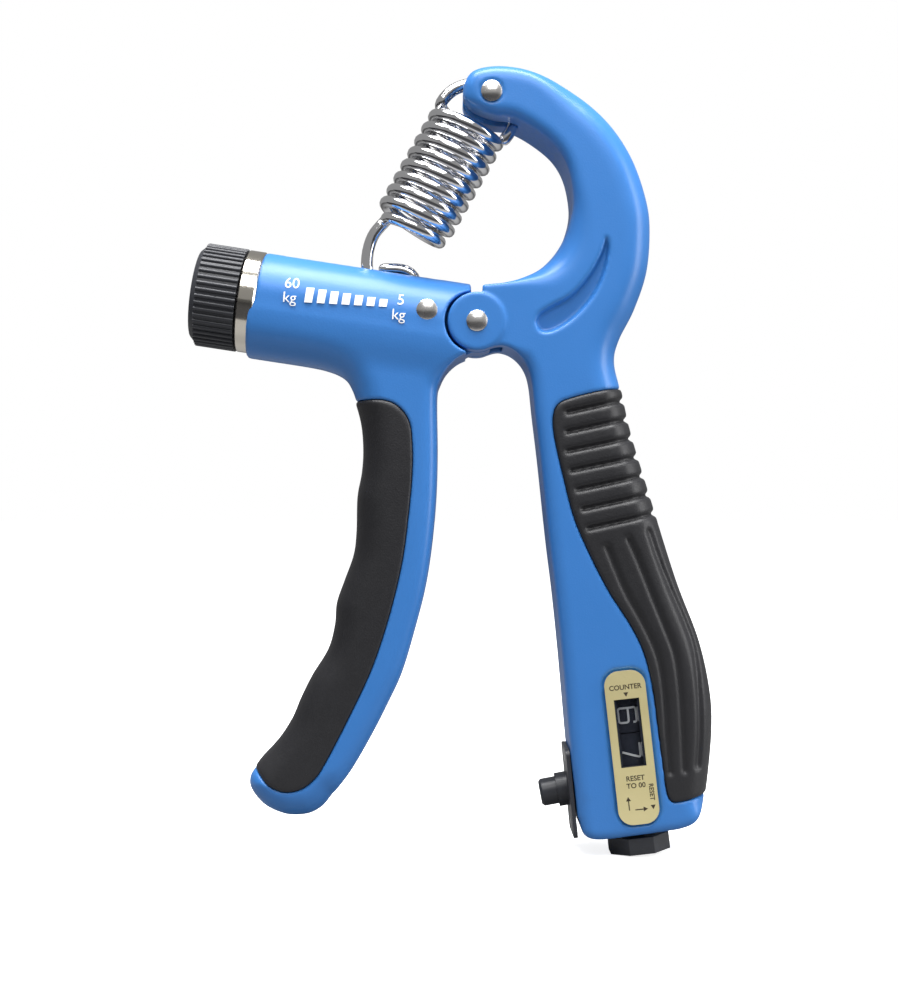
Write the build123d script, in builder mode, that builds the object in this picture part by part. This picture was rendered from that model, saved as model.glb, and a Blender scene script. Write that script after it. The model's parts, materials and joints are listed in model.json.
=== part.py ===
"""Adjustable hand grip strengthener with a squeeze counter, one STEP file for each piece.

The tool stands upright: +X points to the palm handle, +Z up, and the broad front face looks
along -Y. Outline points are (x, z) from the hinge pin's axis, in millimetres.
"""
from build123d import *
import math
import os

os.makedirs("parts", exist_ok=True)

# ---- driving sizes (mm) ----------------------------------------------------------------------
PIVOT_X, PIVOT_Z = 5.704, 110.150  # hinge pin, from the centre of the footprint
HALF = 10.0                    # half the thickness of both arms
FINGER_EDGE, PALM_EDGE = 3.0, 2.0  # rounding and bevel of the arms' long edges
SKIN = 2.4                     # thickness of the soft grip over the plastic core
CORE_HALF = HALF - SKIN
THROUGH = 12.0                 # half length of a cut that goes right through

# Hinge: two cheeks on the palm arm hold a tongue of the finger arm.
KNUCKLE_R, RECESS_R, SLOT_R = 6.0, 6.5, 7.2
NOTCH_LOW_X, NOTCH_HIGH_X = -1.1, 1.2  # walls of the gap above the hinge
TONGUE_HALF, CHEEK_IN = 4.5, 5.0
PIN_R, BUSH_R, WASHER_R = 1.8, 3.0, 5.0
HEAD_R, HEAD_RIM, HEAD_RISE = 2.15, 0.3, 0.9  # rivet heads: radius, side and full height
SEAT, SEAT_R = 0.1, 2.25       # seat of the hinge pin's heads
RUN = 0.05                     # running clearance of a shaft in its hole

# Barrel with the force adjuster. Its frame starts at the mouth and points to the knob.
BARREL_TILT = 8.7
MOUTH = (-45.3, 4.7)
BARREL_R, BORE_R, BORE_DEPTH = 10.6, 9.0, 30.0
COLLAR_L, KNOB_GAP, KNOB_L, KNOB_R = 3.6, 0.3, 9.5, 10.8
RIBS, RIB_R = 48, 0.42
KNOB_EDGE, KNOB_DISH, KNOB_DISH_R = 1.2, 1.4, 4.2
KNOB_SCREW_R, CROSS_W, CROSS_DEPTH = 3.6, 0.7, 0.8
SCREW_R, THREAD_DEPTH, SCREW_PITCH = 2.5, 0.3, 1.0
SCREW_END = -37.2
RETAINER = (-10.2, 2.2)
RETAINER_R, GROOVE_R = 1.4, 1.42
THREAD_LOW, THREAD_TOP = -30.0, -3.0
FORK_DEEP = 8.0                # height of the cuts that open upward
SLOT_LOW, SLOT_HIGH, SLOT_FLOOR = -36.6, -4.0, 4.5  # slot in the top of the barrel
HOOK_POCKET = -32.4            # where its floor drops to clear the hook
NOSE_R, NOSE_L = 4.0, 3.0

# Traveller and spring.
HOOKED_AT = (-18.5, 7.4)       # traveller pin
ANCHOR = (3.0, 47.0)           # spring pin in the head of the bow
NUT_L, NUT_R = 7.2, BORE_R - 0.08
HOOK_PIN_R = 1.2
WIRE_R, COIL_R, COILS = 1.2, 7.05, 9
COIL_LOW, COIL_HIGH = (-13.6, 19.9), (-0.65, 42.2)
LOW_HOOK_R, HIGH_HOOK_R = 5.2, 4.0
FORK = 1.7                     # half width of the slots that the hooks run in
NUT_FORK_LOW, HOOK_PIN_HALF = 2.8, 4.0
HIGH_MOUTH, LOW_MOUTH, HOOK_SWEEP = 250.0, 150.0, 290.0
SINK, SINK_R = 0.6, 2.8        # sunken seat of the anchor pin's heads

# Counter, on an axle that follows the palm handle.
HANDLE_TILT = 6.4
LABEL_AT = (31.6, -87.1)
LABEL_W, LABEL_H, LABEL_R, LABEL_T = 8.5, 31.6, 3.0, 0.5
WINDOW_W, WINDOW_H, WINDOW_UP = 5.2, 14.0, 3.0
AXLE_Y, AXLE_R = -1.4, 1.2
WHEEL_R, WHEEL_L, RATCHET_R = 6.6, 7.1, 3.2
RIM_T, WEB_T, HUB_R = 0.5, 0.6, 2.0  # the number wheels are thin rims on a web and a hub
TENS_LOW, UNITS_LOW, RATCHET_LOW, RATCHET_L = 2.85, -4.5, -10.8, 3.0
RATCHET_TEETH, TOOTH = 10, 0.9
CASE_HALF, CASE_LOW, CASE_HIGH, CASE_FRONT, CASE_BACK, WALL = 7.6, -16.5, 11.2, 1.1, 16.9, 0.6
RESET_R, RESET_TOP, RESET_LOW, RESET_SIDES = 6.7, -19.1, -22.5, 8
AXLE_END = -16.7               # where the axle meets the reset knob's neck

# Plunger that the finger arm pushes at the end of each squeeze.
PLUNGER_TILT = 10.5
PLUNGER_TIP = (13.6, -98.6)
PLUNGER_Y, PLUNGER_R, STEM_R, GUIDE_R = 3.0, 2.9, 1.0, 3.55
PLUNGER_EDGE, PLUNGER_HEAD, STEM_END, STEM_GAP = 0.5, 6.2, 17.0, 0.3
PAWL_W, PAWL_H, PAWL_L = 1.8, 2.0, 1.0
GUIDE_LOW, GUIDE_HIGH = 3.6, 13.4
RETURN_COIL_R, RETURN_WIRE_R, RETURN_COILS = 1.9, 0.3, 5
NECK_R = 3.0
PLATE_AT, PLATE_TILT = (20.0, -97.2), 5.7
PLATE_W, PLATE_L, PLATE_T, PLATE_R = 14.0, 18.5, 0.8, 1.5
SCREWS_AT = [(0, 7.2), (0, -7.2)]
SCREW_HEAD_R, SCREW_HEAD_L, DRIVE_W, DRIVE_DEPTH = 1.3, 0.7, 0.5, 0.35


def at(point, y=0.0):
    """Row position of an (x, z) point taken from the hinge pin."""
    return (PIVOT_X + point[0], y, PIVOT_Z + point[1])


def leaning(degrees):
    """Unit vector in the XZ plane, measured from +X towards +Z."""
    angle = math.radians(degrees)
    return Vector(math.cos(angle), 0, math.sin(angle))


FRONT_DIR = Vector(0, -1, 0)
FACE = Plane(origin=at((0, 0)), x_dir=(1, 0, 0), z_dir=FRONT_DIR)
BARREL = Plane(origin=at(MOUTH), x_dir=leaning(90 - BARREL_TILT), z_dir=leaning(180 - BARREL_TILT))
LABEL = Plane(origin=at(LABEL_AT, -HALF), x_dir=leaning(HANDLE_TILT), z_dir=FRONT_DIR)
AXLE = Plane(origin=at(LABEL_AT, AXLE_Y), x_dir=FRONT_DIR, z_dir=leaning(90 + HANDLE_TILT))
PLUNGER = Plane(origin=at(PLUNGER_TIP, PLUNGER_Y), x_dir=FRONT_DIR, z_dir=leaning(PLUNGER_TILT))


def cross_axis(point):
    """Frame at an (x, z) point whose Z looks out of the front face."""
    return Plane(origin=at(point), x_dir=(1, 0, 0), z_dir=FRONT_DIR)


def turned(frame, profile, mode=Mode.ADD):
    """Turns a closed (radius, height) profile about the frame's Z axis."""
    section = Plane(origin=frame.origin, x_dir=frame.x_dir, z_dir=-frame.y_dir)
    with BuildSketch(section, mode=Mode.PRIVATE) as half:
        with BuildLine():
            Polyline(*profile, close=True)
        make_face()
    revolve(half.sketch, axis=Axis(frame.origin, frame.z_dir), mode=mode)


def rod(frame, radius, low, high, hole=0.0, mode=Mode.ADD):
    """Round bar, or tube, along the frame's Z axis."""
    turned(frame, [(hole, low), (radius, low), (radius, high), (hole, high)], mode)


def riveted(frame, shank, head, half_length):
    """Shank with a domed head on each face."""
    rise = HEAD_RISE - HEAD_RIM
    dome_r = (head ** 2 + rise ** 2) / (2 * rise)
    half_way = head / 2
    shoulder = half_length + HEAD_RIM
    crown = half_length + HEAD_RISE
    bulge = crown - dome_r + math.sqrt(dome_r ** 2 - half_way ** 2)
    section = Plane(origin=frame.origin, x_dir=frame.x_dir, z_dir=-frame.y_dir)
    with BuildSketch(section, mode=Mode.PRIVATE) as half:
        with BuildLine():
            Line((0, -crown), (0, crown))
            ThreePointArc((0, crown), (half_way, bulge), (head, shoulder))
            Polyline((head, shoulder), (head, half_length), (shank, half_length),
                     (shank, -half_length), (head, -half_length), (head, -shoulder))
            ThreePointArc((head, -shoulder), (half_way, -bulge), (0, -crown))
        make_face()
    revolve(half.sketch, axis=Axis(frame.origin, frame.z_dir))


def slab(drawn, low, high, mode=Mode.ADD):
    """Prism of a sketch on the FACE frame between two heights above the middle plane."""
    extrude(drawn.moved(Location(FRONT_DIR * low)), amount=high - low, dir=FRONT_DIR, mode=mode)


def both_sides(drawn, near, far, mode):
    """The same prism on the front and on the back of the middle plane."""
    slab(drawn, near, far, mode)
    slab(drawn, -far, -near, mode)


def save(builder, name):
    """Labels a finished piece and writes its STEP file."""
    builder.part.label = name
    export_step(builder.part, f"parts/{name}.step")


# ---- outlines --------------------------------------------------------------------------------
BOW_OUTSIDE = [(3.0, 53.0), (10.3, 52.6), (16.3, 50.5), (22.9, 46.4), (32.9, 33.9), (36.4, 19.4),
               (32.7, 2.8), (28.6, -7.5), (29.8, -15.0), (36.0, -36.6), (41.2, -53.2),
               (45.9, -65.6), (48.5, -82.0), (47.4, -95.6)]
HEEL_END = (43.2, -103.6)
SOLE_END = (25.0, -106.3)
SHAFT_INSIDE = [(21.1, -102.8), (19.2, -87.6), (17.5, -68.5), (14.9, -45.1), (11.5, -15.3)]
THROAT = [(11.1, -11.0), (9.0, -6.8), (6.4, -4.9), (2.8, -5.3)]
BOW_INSIDE = [(1.2, 7.5), (5.9, 8.0), (13.4, 11.1), (18.6, 19.0), (19.8, 27.3), (16.4, 35.8),
              (10.5, 40.6), (4.1, 42.4)]
NOSE = (-3.0, 47.6)
KNUCKLE_TOP = (NOTCH_HIGH_X, math.sqrt(KNUCKLE_R ** 2 - NOTCH_HIGH_X ** 2))
FORK_MOUTH = [(-3.4, 49.6), (8.0, 43.0), (2.0, 32.0), (-9.0, 38.0)]

FINGER_SIDE = [(-33.0, -2.0), (-31.0, -8.6), (-25.1, -15.9), (-23.4, -26.2), (-24.7, -41.0),
               (-28.7, -58.3), (-30.2, -66.6), (-36.4, -78.0), (-44.5, -90.5), (-46.9, -95.4)]
FINGER_TIP = (-36.0, -101.8)
INNER_SIDE = [(-30.4, -99.0), (-22.4, -85.8), (-15.8, -72.5), (-11.2, -55.6), (-8.4, -36.6),
              (-8.0, -15.0), (-6.6, -9.8)]
BURIED_END = [(-6.6, 0.8), (-33.0, 4.8)]
ARCH = [(-7.9, -13.4), (-6.9, -10.4), (-4.4, -8.6), (-1.0, -7.5), (2, -7.5), (2, -14), (-7.9, -14)]

FINGER_GRIP_EDGE = [(-30.0, -16.2), (-18.9, -16.2), (-13.4, -21.0), (-13.6, -36.6),
                    (-18.1, -61.0), (-31.6, -91.6), (-38.1, -96.5), (-46.0, -91.5), (-52.0, -89.0)]
PALM_GRIP_EDGE = [(32.0, -13.4), (18.4, -16.0), (15.6, -20.3), (19.6, -39.6), (31.8, -63.1),
                  (37.1, -83.5), (38.8, -95.7), (41.0, -98.3), (50.0, -96.4)]


def finger_outline():
    """Closed outline of the finger handle; its upper end is buried in the barrel."""
    with BuildSketch(FACE, mode=Mode.PRIVATE) as drawn:
        with BuildLine():
            Spline(*FINGER_SIDE)
            tip = ThreePointArc(FINGER_SIDE[-1], (-43.0, -100.6), FINGER_TIP)
            ThreePointArc(tip @ 1, (-32.6, -101.0), INNER_SIDE[0])
            Spline(*INNER_SIDE)
            Polyline(INNER_SIDE[-1], *BURIED_END, FINGER_SIDE[0])
        make_face()
    return drawn.sketch


def palm_outline():
    """Closed outline of the palm arm: bow, hinge knuckle and handle in one piece."""
    with BuildSketch(FACE, mode=Mode.PRIVATE) as drawn:
        with BuildLine():
            Spline(*BOW_OUTSIDE)
            ThreePointArc(BOW_OUTSIDE[-1], (46.1, -101.0), HEEL_END)
            Line(HEEL_END, SOLE_END)
            ThreePointArc(SOLE_END, (22.3, -105.5), SHAFT_INSIDE[0])
            Spline(*SHAFT_INSIDE)
            Spline(SHAFT_INSIDE[-1], *THROAT)
            ThreePointArc(THROAT[-1], (-KNUCKLE_R, 0), KNUCKLE_TOP)
            Line(KNUCKLE_TOP, BOW_INSIDE[0])
            Spline(*BOW_INSIDE)
            Spline(BOW_INSIDE[-1], (-1.0, 44.7), NOSE)
            ThreePointArc(NOSE, (-1.2, 51.2), BOW_OUTSIDE[0])
        make_face()
    return drawn.sketch


def grip_region(edge_points, far_side):
    """Area that a soft grip covers: from its edge line out past the handle."""
    with BuildSketch(FACE, mode=Mode.PRIVATE) as drawn:
        with BuildLine():
            edge = Spline(*edge_points)
            Polyline(edge @ 1, (far_side, edge_points[-1][1]), (far_side, edge_points[0][1]), edge @ 0)
        make_face()
    return drawn.sketch


def disc(point, radius):
    """Round area about an (x, z) point on the FACE frame."""
    with BuildSketch(FACE, mode=Mode.PRIVATE) as drawn:
        with Locations(point):
            Circle(radius)
    return drawn.sketch


def area(*points):
    """Straight-sided area on the FACE frame."""
    with BuildSketch(FACE, mode=Mode.PRIVATE) as drawn:
        with BuildLine():
            Polyline(*points, close=True)
        make_face()
    return drawn.sketch


def along(start, end, distance):
    """Point a given distance from start towards end."""
    length = math.dist(start, end)
    return tuple(s + (e - s) * distance / length for s, e in zip(start, end))


finger = finger_outline()
palm = palm_outline()
beyond_notch = area((NOTCH_LOW_X, 30), (NOTCH_LOW_X, -30), (12, -30), (12, 30))
knuckle_room = area((-12, -SLOT_R), (-12, 12), (NOTCH_HIGH_X, 12), (NOTCH_HIGH_X, -SLOT_R))
finger_grip_area = grip_region(FINGER_GRIP_EDGE, -60.0)
palm_grip_area = grip_region(PALM_GRIP_EDGE, 60.0)
HIGH_LOOP = along(ANCHOR, HOOKED_AT, HIGH_HOOK_R - WIRE_R - PIN_R)
LOW_LOOP = along(HOOKED_AT, ANCHOR, LOW_HOOK_R - WIRE_R - HOOK_PIN_R)

# ---- blanks that the arms and their grips are cut from ---------------------------------------
with BuildPart() as finger_blank:
    slab(finger, -HALF, HALF)
    rims = finger_blank.faces().sort_by(Axis.Y)
    fillet(rims[0].edges() + rims[-1].edges(), FINGER_EDGE)

with BuildPart() as palm_blank:
    slab(palm, -HALF, HALF)
    rims = palm_blank.faces().sort_by(Axis.Y)
    chamfer(rims[0].edges() + rims[-1].edges(), PALM_EDGE)


def inset(points):
    """The points of one side, moved in by the grip's thickness to the left of their run."""
    moved = []
    for index, (x, z) in enumerate(points):
        before = points[max(index - 1, 0)]
        after = points[min(index + 1, len(points) - 1)]
        run = (after[0] - before[0], after[1] - before[1])
        length = math.hypot(*run)
        moved.append((x - SKIN * run[1] / length, z + SKIN * run[0] / length))
    return moved


def core(down_side, up_side):
    """Thinner plastic core of a handle, which its soft grip wraps."""
    with BuildSketch(FACE, mode=Mode.PRIVATE) as drawn:
        with BuildLine():
            down = Spline(*inset(down_side))
            up = Spline(*inset(up_side))
            Line(down @ 1, up @ 0)
            Line(up @ 1, down @ 0)
        make_face()
    with BuildPart() as piece:
        slab(drawn.sketch, -CORE_HALF, CORE_HALF)
    return piece.part


finger_core = core(FINGER_SIDE[1:], INNER_SIDE)
palm_core = core(SHAFT_INSIDE[::-1], BOW_OUTSIDE[:6:-1])

# Room for the counter inside the palm handle.
CASE_MIDDLE = (CASE_LOW + CASE_HIGH) / 2
with BuildPart() as case_block:
    with BuildSketch(LABEL.offset(-CASE_FRONT)):
        with Locations((0, CASE_MIDDLE)):
            Rectangle(2 * CASE_HALF, CASE_HIGH - CASE_LOW)
    extrude(amount=-(CASE_BACK - CASE_FRONT))

# ---- finger arm ------------------------------------------------------------------------------
with BuildPart() as front_grip:
    add(finger_blank.part)
    slab(finger_grip_area, -THROUGH, THROUGH, Mode.INTERSECT)
    add(finger_core, mode=Mode.SUBTRACT)
save(front_grip, "front_grip")

with BuildPart() as front_arm_body:
    add(finger_blank.part)
    slab(finger_grip_area, -THROUGH, THROUGH, Mode.SUBTRACT)
    add(finger_core)
    rod(BARREL, BARREL_R, -48.0, 0.0)
    # The barrel ends at the notch above the hinge, and the arch cuts its underside.
    slab(beyond_notch, -THROUGH, THROUGH, Mode.SUBTRACT)
    slab(area(*ARCH), -THROUGH, THROUGH, Mode.SUBTRACT)
    slab(disc((0, 0), KNUCKLE_R), -TONGUE_HALF, TONGUE_HALF)
    both_sides(disc((0, 0), RECESS_R), TONGUE_HALF, THROUGH, Mode.SUBTRACT)
    rod(cross_axis((0, 0)), BUSH_R, -TONGUE_HALF, TONGUE_HALF, mode=Mode.SUBTRACT)
    rod(BARREL, BORE_R, -BORE_DEPTH, 1.0, mode=Mode.SUBTRACT)
    rod(BARREL, SCREW_R + RUN, SCREW_END - 0.4, 0.0, mode=Mode.SUBTRACT)
    # Slot along the top of the barrel, where the spring's hook reaches the traveller.
    for low, floor in ((SLOT_LOW, SLOT_FLOOR), (HOOK_POCKET, NUT_FORK_LOW)):
        with BuildSketch(BARREL.offset(low)):
            with Locations((floor + FORK_DEEP / 2, 0)):
                Rectangle(FORK_DEEP, 2 * FORK)
        extrude(amount=SLOT_HIGH - low, mode=Mode.SUBTRACT)
    rod(cross_axis(RETAINER), RETAINER_R, -HALF - 0.4, HALF + 0.4, mode=Mode.SUBTRACT)
    both_sides(disc(RETAINER, HEAD_R), HALF, THROUGH, Mode.SUBTRACT)
save(front_arm_body, "front_arm_body")

with BuildPart() as barrel_collar:
    rod(BARREL, BARREL_R + 0.1, 0.0, COLLAR_L, hole=NOSE_R)
    outer = barrel_collar.edges().filter_by(GeomType.CIRCLE).sort_by(SortBy.RADIUS)[-2:]
    chamfer(outer, 0.3)
save(barrel_collar, "barrel_collar")

with BuildPart() as nose_bush:
    turned(BARREL, [(SCREW_R + RUN, -NOSE_L), (BORE_R, -NOSE_L), (BORE_R, 0), (NOSE_R, 0),
                    (NOSE_R, COLLAR_L), (SCREW_R + RUN, COLLAR_L)])
save(nose_bush, "nose_bush")

with BuildPart() as screw_retaining_pin:
    riveted(cross_axis(RETAINER), RETAINER_R, HEAD_R, HALF)
save(screw_retaining_pin, "screw_retaining_pin")

with BuildPart() as pivot_bush:
    rod(cross_axis((0, 0)), BUSH_R, -TONGUE_HALF, TONGUE_HALF, hole=PIN_R + RUN)
save(pivot_bush, "pivot_bush")

with BuildPart() as pivot_washers:
    for side in (-1, 1):
        inner, outer = sorted((side * TONGUE_HALF, side * (CHEEK_IN - RUN)))
        rod(cross_axis((0, 0)), WASHER_R, inner, outer, hole=PIN_R + RUN)
save(pivot_washers, "pivot_washers")

# ---- force adjuster --------------------------------------------------------------------------
KNOB_LOW = COLLAR_L + KNOB_GAP
KNOB_END = KNOB_LOW + KNOB_L
DISH_FLOOR = KNOB_END - KNOB_DISH
with BuildPart() as adjusting_knob:
    core_r = KNOB_R - RIB_R
    turned(BARREL, [(SCREW_R, KNOB_LOW), (core_r, KNOB_LOW), (core_r, KNOB_END - KNOB_EDGE),
                    (core_r - KNOB_EDGE, KNOB_END), (KNOB_DISH_R, KNOB_END),
                    (KNOB_DISH_R, DISH_FLOOR), (SCREW_R, DISH_FLOOR)])
    with BuildSketch(BARREL.offset(KNOB_LOW)):
        with PolarLocations(core_r, RIBS):
            Circle(RIB_R)
    extrude(amount=KNOB_L - KNOB_EDGE)
save(adjusting_knob, "adjusting_knob")

with BuildPart() as lead_screw:
    profile = [(0, SCREW_END), (SCREW_R, SCREW_END)]
    groove_at = BARREL.to_local_coords(Vector(*at(RETAINER))).Z
    for height in (groove_at - RETAINER_R - 0.1, groove_at + RETAINER_R + 0.1):
        waist = [(SCREW_R, height), (GROOVE_R, height)]
        profile += waist if height < groove_at else waist[::-1]
    turns = int((THREAD_TOP - THREAD_LOW) / SCREW_PITCH)
    for turn in range(turns):
        start = THREAD_LOW + turn * SCREW_PITCH
        profile += [(SCREW_R, start), (SCREW_R - THREAD_DEPTH, start + SCREW_PITCH / 2)]
    profile += [(SCREW_R, THREAD_TOP), (SCREW_R, DISH_FLOOR), (0, DISH_FLOOR)]
    turned(BARREL, profile)
save(lead_screw, "lead_screw")

with BuildPart() as knob_screw:
    turned(BARREL, [(0, DISH_FLOOR), (KNOB_SCREW_R, DISH_FLOOR), (KNOB_SCREW_R, KNOB_END - 0.7),
                    (KNOB_SCREW_R - 1.0, KNOB_END - 0.2), (0, KNOB_END - 0.1)])
    with BuildSketch(BARREL.offset(KNOB_END)):
        Rectangle(KNOB_SCREW_R, CROSS_W)
        Rectangle(CROSS_W, KNOB_SCREW_R)
    extrude(amount=-CROSS_DEPTH, mode=Mode.SUBTRACT)
save(knob_screw, "knob_screw")

with BuildPart() as traveller_nut:
    middle = BARREL.to_local_coords(Vector(*at(HOOKED_AT)))
    low = middle.Z - NUT_L / 2
    rod(BARREL, NUT_R, low, low + NUT_L, hole=SCREW_R + RUN)
    with BuildSketch(BARREL.offset(low)):
        with Locations((NUT_FORK_LOW + FORK_DEEP / 2, 0)):
            Rectangle(FORK_DEEP, 2 * FORK)
    extrude(amount=NUT_L, mode=Mode.SUBTRACT)
    rod(cross_axis(HOOKED_AT), HOOK_PIN_R, -BORE_R, BORE_R, mode=Mode.SUBTRACT)
save(traveller_nut, "traveller_nut")

with BuildPart() as hook_pin:
    rod(cross_axis(HOOKED_AT), HOOK_PIN_R, -HOOK_PIN_HALF, HOOK_PIN_HALF)
save(hook_pin, "hook_pin")

# ---- tension spring --------------------------------------------------------------------------
coil_run = math.dist(COIL_LOW, COIL_HIGH)
coil_lean = math.degrees(math.atan2(COIL_HIGH[1] - COIL_LOW[1], COIL_HIGH[0] - COIL_LOW[0]))
COIL = Plane(origin=at(COIL_LOW), x_dir=leaning(coil_lean - 90), z_dir=leaning(coil_lean))


def coil_wire(frame, radius, wire, length, turns):
    """Helical wire along the frame's Z axis."""
    route = Helix(length / turns, length, radius, center=frame.origin, direction=frame.z_dir,
                  mode=Mode.PRIVATE)
    with BuildSketch(Plane(origin=route @ 0, z_dir=route % 0), mode=Mode.PRIVATE) as section:
        Circle(wire)
    sweep(section.sketch, path=route, is_frenet=True)


def hook(centre, radius, mouth):
    """Round hook of wire in the middle plane, open over the last part of the turn."""
    with BuildLine(cross_axis(centre), mode=Mode.PRIVATE) as route:
        CenterArc((0, 0), radius, mouth, HOOK_SWEEP)
    start = route.edges()[0]
    with BuildSketch(Plane(origin=start @ 0, z_dir=start % 0), mode=Mode.PRIVATE) as section:
        Circle(WIRE_R)
    sweep(section.sketch, path=route.wires()[0])


with BuildPart() as tension_spring:
    coil_wire(COIL, COIL_R, WIRE_R, coil_run, COILS)
    hook(HIGH_LOOP, HIGH_HOOK_R, HIGH_MOUTH)
    hook(LOW_LOOP, LOW_HOOK_R, LOW_MOUTH)
save(tension_spring, "tension_spring")

# ---- palm arm --------------------------------------------------------------------------------
with BuildPart() as rear_grip:
    add(palm_blank.part)
    slab(palm_grip_area, -THROUGH, THROUGH, Mode.INTERSECT)
    add(palm_core, mode=Mode.SUBTRACT)
    add(case_block.part, mode=Mode.SUBTRACT)
save(rear_grip, "rear_grip")

with BuildPart() as rear_arm_body:
    add(palm_blank.part)
    slab(palm_grip_area, -THROUGH, THROUGH, Mode.SUBTRACT)
    add(palm_core)
    slab(disc((0, 0), SLOT_R), -CHEEK_IN, CHEEK_IN, Mode.SUBTRACT)
    slab(knuckle_room, -CHEEK_IN, CHEEK_IN, Mode.SUBTRACT)
    rod(cross_axis((0, 0)), PIN_R, -HALF, HALF, mode=Mode.SUBTRACT)
    both_sides(disc((0, 0), SEAT_R), HALF - SEAT, HALF, Mode.SUBTRACT)
    # Fork in the head of the bow for the spring's upper hook.
    slab(disc(HIGH_LOOP, HIGH_HOOK_R + FORK), -FORK, FORK, Mode.SUBTRACT)
    slab(area(*FORK_MOUTH), -FORK, FORK, Mode.SUBTRACT)
    rod(cross_axis(ANCHOR), PIN_R, -HALF, HALF, mode=Mode.SUBTRACT)
    both_sides(disc(ANCHOR, SINK_R), HALF - SINK, HALF, Mode.SUBTRACT)
    # Counter: room for its case, label, window, reset knob and plunger.
    add(case_block.part, mode=Mode.SUBTRACT)
    with BuildSketch(LABEL):
        RectangleRounded(LABEL_W, LABEL_H, LABEL_R)
    extrude(amount=-LABEL_T, mode=Mode.SUBTRACT)
    with BuildSketch(LABEL):
        with Locations((0, WINDOW_UP)):
            Rectangle(WINDOW_W, WINDOW_H)
    extrude(amount=-CASE_FRONT, mode=Mode.SUBTRACT)
    rod(AXLE, NECK_R + 0.1, RESET_TOP - 1, CASE_LOW, mode=Mode.SUBTRACT)
    rod(PLUNGER, GUIDE_R, GUIDE_LOW, GUIDE_HIGH, mode=Mode.SUBTRACT)
save(rear_arm_body, "rear_arm_body")

with BuildPart() as pivot_pin:
    riveted(cross_axis((0, 0)), PIN_R, HEAD_R, HALF - SEAT)
save(pivot_pin, "pivot_pin")

with BuildPart() as spring_anchor_pin:
    riveted(cross_axis(ANCHOR), PIN_R, HEAD_R, HALF - SINK)
save(spring_anchor_pin, "spring_anchor_pin")

# ---- counter ---------------------------------------------------------------------------------
with BuildPart() as counter_case:
    add(case_block.part)
    with BuildSketch(LABEL.offset(-CASE_FRONT - WALL)):
        with Locations((0, CASE_MIDDLE)):
            Rectangle(2 * (CASE_HALF - WALL), CASE_HIGH - CASE_LOW - 2 * WALL)
    extrude(amount=-(CASE_BACK - CASE_FRONT - 2 * WALL), mode=Mode.SUBTRACT)
    with BuildSketch(LABEL):
        with Locations((0, WINDOW_UP)):
            Rectangle(WINDOW_W, WINDOW_H)
    extrude(amount=-CASE_FRONT - 2 * WALL, mode=Mode.SUBTRACT)
    rod(AXLE, AXLE_R + RUN, CASE_HIGH - 1, CASE_HIGH + 1, mode=Mode.SUBTRACT)
    rod(AXLE, NECK_R + RUN, CASE_LOW - 1, CASE_LOW + 1, mode=Mode.SUBTRACT)
    rod(PLUNGER, GUIDE_R, GUIDE_LOW, GUIDE_HIGH, mode=Mode.SUBTRACT)
    rod(PLUNGER, STEM_R + STEM_GAP, GUIDE_LOW, STEM_END, mode=Mode.SUBTRACT)
save(counter_case, "counter_case")

with BuildPart() as counter_label:
    with BuildSketch(LABEL):
        RectangleRounded(LABEL_W - 0.1, LABEL_H - 0.1, LABEL_R)
        with Locations((0, WINDOW_UP)):
            Rectangle(WINDOW_W, WINDOW_H, mode=Mode.SUBTRACT)
    extrude(amount=-LABEL_T)
save(counter_label, "counter_label")

with BuildPart() as counter_lens:
    with BuildSketch(LABEL.offset(-LABEL_T)):
        with Locations((0, WINDOW_UP)):
            Rectangle(WINDOW_W, WINDOW_H)
    extrude(amount=-(CASE_FRONT - LABEL_T))
save(counter_lens, "counter_lens")

with BuildPart() as plunger_guide:
    turned(PLUNGER, [(PLUNGER_R + RUN, GUIDE_LOW), (GUIDE_R, GUIDE_LOW), (GUIDE_R, GUIDE_HIGH),
                     (STEM_R + RUN, GUIDE_HIGH), (STEM_R + RUN, GUIDE_HIGH - WALL),
                     (PLUNGER_R + RUN, GUIDE_HIGH - WALL)])
save(plunger_guide, "plunger_guide")

PLATE = Plane(origin=at(PLATE_AT), x_dir=(0, -1, 0), z_dir=leaning(180 + PLATE_TILT))
with BuildPart() as counter_plate:
    with BuildSketch(PLATE):
        RectangleRounded(PLATE_W, PLATE_L, PLATE_R)
    extrude(amount=PLATE_T)
    rod(PLUNGER, GUIDE_R, 0, 14, mode=Mode.SUBTRACT)
    add(palm_blank.part, mode=Mode.SUBTRACT)
    with BuildSketch(PLATE.offset(PLATE_T)):
        with Locations(*SCREWS_AT):
            Circle(SCREW_HEAD_R)
    extrude(amount=-2 * PLATE_T, mode=Mode.SUBTRACT)
save(counter_plate, "counter_plate")

with BuildPart() as plate_screws:
    with BuildSketch(PLATE.offset(PLATE_T)):
        with Locations(*SCREWS_AT):
            Circle(SCREW_HEAD_R)
    extrude(amount=-SCREW_HEAD_L)
    with BuildSketch(PLATE.offset(PLATE_T)):
        with Locations(*SCREWS_AT):
            Rectangle(DRIVE_W, 1.5 * SCREW_HEAD_R)
    extrude(amount=-DRIVE_DEPTH, mode=Mode.SUBTRACT)
save(plate_screws, "plate_screws")

with BuildPart() as plunger:
    turned(PLUNGER, [(0, 0), (PLUNGER_R - PLUNGER_EDGE, 0), (PLUNGER_R, PLUNGER_EDGE),
                     (PLUNGER_R, PLUNGER_HEAD), (STEM_R, PLUNGER_HEAD), (STEM_R, STEM_END),
                     (0, STEM_END)])
save(plunger, "plunger")

with BuildPart() as drive_pawl:
    with BuildSketch(PLUNGER.offset(STEM_END)):
        Rectangle(PAWL_W, PAWL_H)
    extrude(amount=PAWL_L)
save(drive_pawl, "drive_pawl")

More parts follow.
